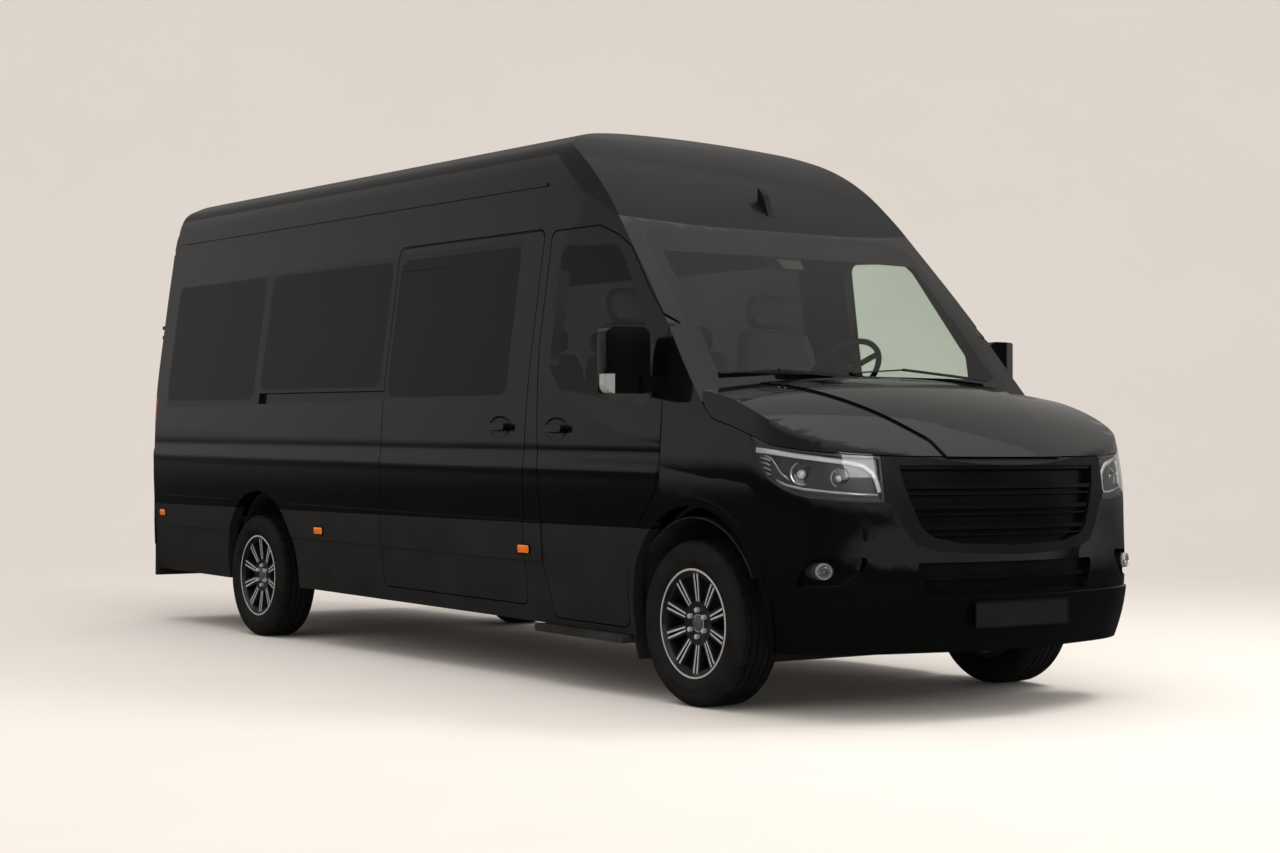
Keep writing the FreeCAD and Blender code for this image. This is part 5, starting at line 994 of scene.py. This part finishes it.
# %% Side markers
MARKER_WIDE, MARKER_TALL, MARKER_ROUND = 0.112, 0.048, 0.015
MARKER_PROUD = 0.0035
MARKER_STEPS = ((0.0045, 0.0, 0), (0.0012, 0.0030, 1), (0.0060, 0.0016, 1), (0.0060, 0.0005, 1))
MARKERS = ((-1.298, 0.629), (-3.456, 0.648), (-5.655, 0.699))
PATCH_SUNK = 0.001


def rounded_outline(centre_x, centre_z, width, height, radius, steps=5):
    """Points round a rectangle with rounded corners."""
    points = []
    for corner, (sign_x, sign_z) in enumerate(((1, 1), (-1, 1), (-1, -1), (1, -1))):
        for i in range(steps + 1):
            angle = math.radians(90 * corner + 90 * i / steps)
            points.append((centre_x + sign_x * (width / 2 - radius) + radius * math.cos(angle),
                           centre_z + sign_z * (height / 2 - radius) + radius * math.sin(angle)))
    return points


def patch_mesh(name, nodes, outline, hand, proud, steps):
    """A plate on the body's side, with its face inset in steps."""
    tree = surface_of(*nodes)
    work = bmesh.new()
    places = [side_point(tree, x, z, hand) for x, z in outline]
    face = closed_plate(work, [place + Vector((0, hand * proud, 0)) for place in places],
                        [place - Vector((0, hand * PATCH_SUNK, 0)) for place in places])
    inset_steps(work, face, steps)
    return finished(work, name, 50)


for word, hand in SIDES:
    nodes = ["side_" + word, "cab_frame", "front_door_" + word] + (["sliding_door"] if word == "right" else [])
    for number, (x, z) in enumerate(MARKERS, 1):
        name = "marker_%s_%d" % (word, number)
        outline = rounded_outline(AXLE_X + x, z, MARKER_WIDE, MARKER_TALL, MARKER_ROUND)
        bind_piece(patch_mesh(name, nodes, outline, hand, MARKER_PROUD, MARKER_STEPS), name, "root",
                   (TRIM, AMBER))
print("markers", 2 * len(MARKERS))

# %% Handle dishes
DISH_PROUD = 0.0016
DISH_LONG_HALF, DISH_TALL_HALF = 0.104, 0.056
DISH_STEPS = ((0.0035, 0.0006, 0), (0.0040, -0.0016, 1), (0.0080, -0.0003, 1))
DISHES = (("handle_dish_slide", -1.537, 1.213, -1, "sliding_door"),
          ("handle_dish_right", -1.033, 1.200, -1, "front_door_right"),
          ("handle_dish_left", -1.033, 1.200, 1, "front_door_left"))
turns = [math.radians(15 * i) for i in range(24)]
for name, x, z, hand, node in DISHES:
    outline = [(AXLE_X + x + DISH_LONG_HALF * math.cos(turn), z + DISH_TALL_HALF * math.sin(turn))
               for turn in turns]
    bind_piece(patch_mesh(name, [node], outline, hand, DISH_PROUD, DISH_STEPS), name, body_of_node[node],
               (PAINT, FRIT))
print("handle dishes", len(DISHES))

# %% [markdown]
# ## Blank plate
# A plate is flat and upright although the bumper bows, so it stands just before the bumper's furthest
# point. It stays blank and dark, in a thin frame.

# %% Blank plate
PLATE_HALF = 0.270
PLATE_LOW = 0.370
PLATE_HIGH = 0.480
PLATE_ROUND = 0.008
PLATE_AHEAD = 0.004
PLATE_BEHIND = 0.010
PLATE_STEPS = ((0.006, 0.0, 0), (0.0012, -0.0018, 1))


def plate_mesh(name):
    """A plate in a thin raised frame."""
    tree = surface_of("front_bumper")
    hits = [tree.ray_cast(Vector((6, y, z)), Vector((-1, 0, 0)))[0]
            for y in (-PLATE_HALF, 0, PLATE_HALF) for z in (PLATE_LOW, PLATE_HIGH)]
    reach = max(hit.x for hit in hits if hit is not None)
    outline = rounded_outline(0, (PLATE_LOW + PLATE_HIGH) / 2, 2 * PLATE_HALF, PLATE_HIGH - PLATE_LOW,
                              PLATE_ROUND)
    work = bmesh.new()
    face = closed_plate(work, [(reach + PLATE_AHEAD, y, z) for y, z in outline],
                        [(reach - PLATE_BEHIND, y, z) for y, z in outline])
    inset_steps(work, face, PLATE_STEPS)
    return finished(work, name, 40)


plate = bind_piece(plate_mesh("front_plate"), "front_plate", "root", (TRIM, PLATE_BLACK))
print("plate at", [round(c, 3) for c in plate.data.vertices[0].co])

# %% [markdown]
# ## Wheel arch liners
# A plastic shell covers the steered wheel from above. Without it the light would show through the
# nose, so a thin section is spun a half turn about the axle.

# %% Wheel arch liners
LINER_RADIUS = 0.452
LINER_WALL = 0.006
LINER_INNER = 0.60
LINER_OUTER = 0.955
LINER_START = math.radians(24)
LINER_TURN = math.radians(176)


def liner_mesh(name, hand):
    """A shell over a front wheel, from behind it to ahead of it."""
    work = bmesh.new()
    section = [(LINER_RADIUS, LINER_INNER), (LINER_RADIUS, LINER_OUTER), (LINER_RADIUS + LINER_WALL, LINER_OUTER),
               (LINER_RADIUS + LINER_WALL, LINER_INNER)]
    ring = [work.verts.new((-radius * math.cos(LINER_START), hand * along, -radius * math.sin(LINER_START)))
            for radius, along in section]
    face = work.faces.new(ring)
    bmesh.ops.spin(work, geom=ring + face.edges[:] + [face], cent=(0, 0, 0), axis=(0, 1, 0), steps=36,
                   angle=LINER_TURN)
    bmesh.ops.transform(work, matrix=Matrix.Translation((AXLE_X, 0, TYRE_RADIUS)), verts=work.verts)
    return finished(work, name, 30)


for word, hand in SIDES:
    bind_piece(liner_mesh("arch_liner_" + word, hand), "arch_liner_" + word, "root", UNDER)
print("liners made")

# %% [markdown]
# ## Bonnet louvres and the windscreen's sensor
# The louvres let air into the cab, as thin dark slots on each side of the bonnet, which they ride on.
# The rain sensor's housing is a small rounded box that touches the glass from inside.

# %% Louvres and sensor
LOUVRE_ROWS = 4
LOUVRE_FIRST = 0.20
LOUVRE_PITCH = 0.026
LOUVRE_INNER = 0.36
LOUVRE_STEP = 0.055
LOUVRE_POINTS = 6
LOUVRE_SLANT = 0.10
LOUVRE_HALF = 0.005
LOUVRE_LIFT = 0.0010
SENSOR = [(-0.115, 1.945), (0.005, 1.945), (0.035, 2.035), (-0.145, 2.035)]
SENSOR_GAP = 0.001
SENSOR_DEPTH = 0.085
SENSOR_ROUND = 0.012


def louvres_mesh(name):
    """Rows of thin slots laid on the bonnet, slanted as its edge is."""
    tree = surface_of("bonnet")
    work = bmesh.new()
    section = [Vector((x * LOUVRE_HALF, 0, z * LOUVRE_LIFT)) for x, z in ((1, 1), (-1, 1), (-1, -1), (1, -1))]
    for hand in (-1, 1):
        for row in range(LOUVRE_ROWS):
            rows = []
            for i in range(LOUVRE_POINTS):
                out = LOUVRE_INNER + LOUVRE_STEP * i
                x = AXLE_X + LOUVRE_FIRST + LOUVRE_PITCH * row - LOUVRE_SLANT * (out - LOUVRE_INNER)
                spot = tree.ray_cast(Vector((x, hand * out, 2.0)), Vector((0, 0, -1)))[0]
                rows.append([spot + corner for corner in section])
            closed_strip(work, rows)
    return finished(work, name)


def sensor_mesh(name):
    """A rounded box behind the glass."""
    tree = surface_of("windscreen")
    work = bmesh.new()
    spots = [tree.ray_cast(Vector((0, y, z)), Vector((1, 0, 0)))[0] for y, z in SENSOR]
    closed_plate(work, [spot - Vector((SENSOR_GAP, 0, 0)) for spot in spots],
                 [spot - Vector((SENSOR_DEPTH, 0, 0)) for spot in spots])
    bmesh.ops.bevel(work, geom=work.edges[:], offset=SENSOR_ROUND, segments=3, profile=0.5, affect="EDGES",
                    material=-1)
    return finished(work, name, 30)


bind_piece(louvres_mesh("bonnet_louvres"), "bonnet_louvres", "bonnet", FRIT)
bind_piece(sensor_mesh("screen_sensor"), "screen_sensor", "root", INTERIOR)
print("louvres and sensor made")

# %% [markdown]
# ## Floor and backdrop
# The photo's studio is warm and pale: one seamless floor that curves up far behind. A plain plane
# would show a horizon. Gloss paint would mirror a bright floor and turn grey, so to a mirrored ray
# the floor is nearly black, and only its far curve glows.

# %% Floor and backdrop
VIEW_YAW = 0.9586
CURVE_START = 7.0
CURVE_RADIUS = 18.0
CURVE_STEP = 6
STAGE_HALF = 60.0
GLOW_LOW, GLOW_HIGH, GLOW_HEIGHT = 0.025, 0.30, 3.0


def studio_floor():
    """A pale floor that runs into a curved backdrop on the far side."""
    work = bmesh.new()
    bend = [math.radians(CURVE_STEP * i) for i in range(1, 90 // CURVE_STEP + 1)]
    profile = [(-STAGE_HALF, 0), (CURVE_START, 0)]
    profile += [(CURVE_START + CURVE_RADIUS * math.sin(a), CURVE_RADIUS * (1 - math.cos(a))) for a in bend]
    profile += [(CURVE_START + CURVE_RADIUS, STAGE_HALF / 2)]
    rows = []
    for across in (-STAGE_HALF, STAGE_HALF):
        rows.append([work.verts.new((across * math.cos(VIEW_YAW) - depth * math.sin(VIEW_YAW),
                                     across * math.sin(VIEW_YAW) + depth * math.cos(VIEW_YAW), height))
                     for depth, height in profile])
    for i in range(len(profile) - 1):
        work.faces.new((rows[0][i], rows[1][i], rows[1][i + 1], rows[0][i + 1])).smooth = True
    return placed("studio_floor", finished(work, "studio floor"))


def floor_finish():
    """Pale paper to the camera and to scattered light, and dim to a mirror."""
    material = finish("studio floor", (0.80, 0.765, 0.73), (0.815, 0.78, 0.745), 0.55, 0.65, grain=3,
                      bump=0.0, spot=0.3, specular=0.2)
    tree = material.node_tree
    height = add_node(tree, "SeparateXYZ", Vector=add_node(tree, "TexCoord").outputs["Object"]).outputs["Z"]
    dim = add_node(tree, "Emission", Color=(1.0, 0.96, 0.91, 1),
                   Strength=remap(tree, height, GLOW_LOW, GLOW_HIGH, 0.0, GLOW_HEIGHT))
    mirrored = add_node(tree, "LightPath").outputs["Is Glossy Ray"]
    paper = tree.nodes["Principled BSDF"].outputs["BSDF"]
    feed(tree, tree.nodes["Material Output"], Surface=mix_shaders(tree, mirrored, paper, dim.outputs["Emission"]))
    return material


floor = studio_floor()
floor.data.materials.append(floor_finish())
print("floor", len(floor.data.polygons), "faces")

# %% [markdown]
# ## Studio light
# Large soft lamps give soft shadows, and the two above stay out of the mirror so that no bright square
# lies on the roof. The world is even for rough surfaces. For mirrors its air grows from a dim horizon
# over a bright band, which draws the belt line, to a bright ceiling.

# %% Soft studio light
WORLD_STOPS = ((0.0, 0.008), (0.050, 0.012), (0.075, 0.42), (0.30, 0.24), (0.60, 0.40), (0.85, 0.80))
WORLD_WARMTH = (1.0, 0.975, 0.94)
MIRRORED_STRENGTH = 0.86


def soft_lamp(name, place, target, size, power, colour=(1.0, 0.97, 0.93)):
    """A large soft lamp that faces a point."""
    data = bpy.data.lights.new(name, "AREA")
    data.shape = "RECTANGLE"
    data.size, data.size_y = size
    data.energy = power
    data.color = colour
    lamp = placed(name, data)
    lamp.location = place
    lamp.rotation_euler = (Vector(target) - Vector(place)).to_track_quat("-Z", "Y").to_euler()
    return lamp


def studio_world():
    """Even warm light for rough surfaces, and a gradient from dim horizon to bright ceiling for mirrors."""
    world = bpy.data.worlds.new("studio")
    bpy.context.scene.world = world
    world.use_nodes = True
    tree = world.node_tree
    even = feed(tree, tree.nodes["Background"], Color=(0.95, 0.91, 0.87, 1), Strength=1.0)
    height = add_node(tree, "SeparateXYZ", Vector=add_node(tree, "TexCoord").outputs["Generated"]).outputs["Z"]
    ramp = add_node(tree, "ValToRGB", Fac=height)
    elements = ramp.color_ramp.elements
    for i, (place, value) in enumerate(WORLD_STOPS):
        stop = elements[i] if i < 2 else elements.new(place)
        stop.position = place
        stop.color = (*(value * tone for tone in WORLD_WARMTH), 1)
    sky = add_node(tree, "Background", Color=ramp.outputs["Color"], Strength=MIRRORED_STRENGTH)
    mirrored = add_node(tree, "LightPath").outputs["Is Glossy Ray"]
    feed(tree, tree.nodes["World Output"],
         Surface=mix_shaders(tree, mirrored, even.outputs["Background"], sky.outputs["Background"]))


soft_lamp("lamp over roof", (0.5, -1.5, 8.0), (0.0, 0.0, 1.0), (10.0, 6.0), 260).visible_glossy = False
soft_lamp("lamp over windscreen", (3.6, 3.2, 6.2), (2.3, -0.3, 1.8), (2.6, 1.8), 200).visible_glossy = False
soft_lamp("lamp ahead", (11.0, -1.0, 4.0), (2.5, 0.0, 1.0), (3.0, 2.0), 120)
studio_world()

# %% [markdown]
# ## Camera
# The camera stands off the vehicle's front right corner at bumper height. Its place, turn and lens
# were fitted to the photo, so that a render can be laid over it.

# %% Camera
SENSOR_WIDTH = 36.0
FOCAL_LENGTH = 60.96
VIEW_PITCH = 0.0113
VIEW_ROLL = 0.0018
CAMERA_AHEAD, CAMERA_SIDE, CAMERA_HEIGHT = 7.4734, -6.4889, 1.0957
camera_data = bpy.data.cameras.new("camera")
camera_data.sensor_width = SENSOR_WIDTH
camera_data.lens = FOCAL_LENGTH
camera = placed("camera", camera_data)
level = math.cos(VIEW_PITCH)
forward = Vector((-math.sin(VIEW_YAW) * level, math.cos(VIEW_YAW) * level, math.sin(VIEW_PITCH)))
side = Vector((math.cos(VIEW_YAW), math.sin(VIEW_YAW), 0))
up = side.cross(forward)
right = side * math.cos(VIEW_ROLL) + up * math.sin(VIEW_ROLL)
top = up * math.cos(VIEW_ROLL) - side * math.sin(VIEW_ROLL)
place = Vector((AXLE_X + CAMERA_AHEAD, CAMERA_SIDE, CAMERA_HEIGHT))
camera.matrix_world = Matrix(((right.x, top.x, -forward.x, place.x), (right.y, top.y, -forward.y, place.y),
                              (right.z, top.z, -forward.z, place.z), (0, 0, 0, 1)))
bpy.context.scene.camera = camera
bpy.context.scene.view_settings.view_transform = "Standard"
print("camera at", tuple(round(c, 3) for c in place))
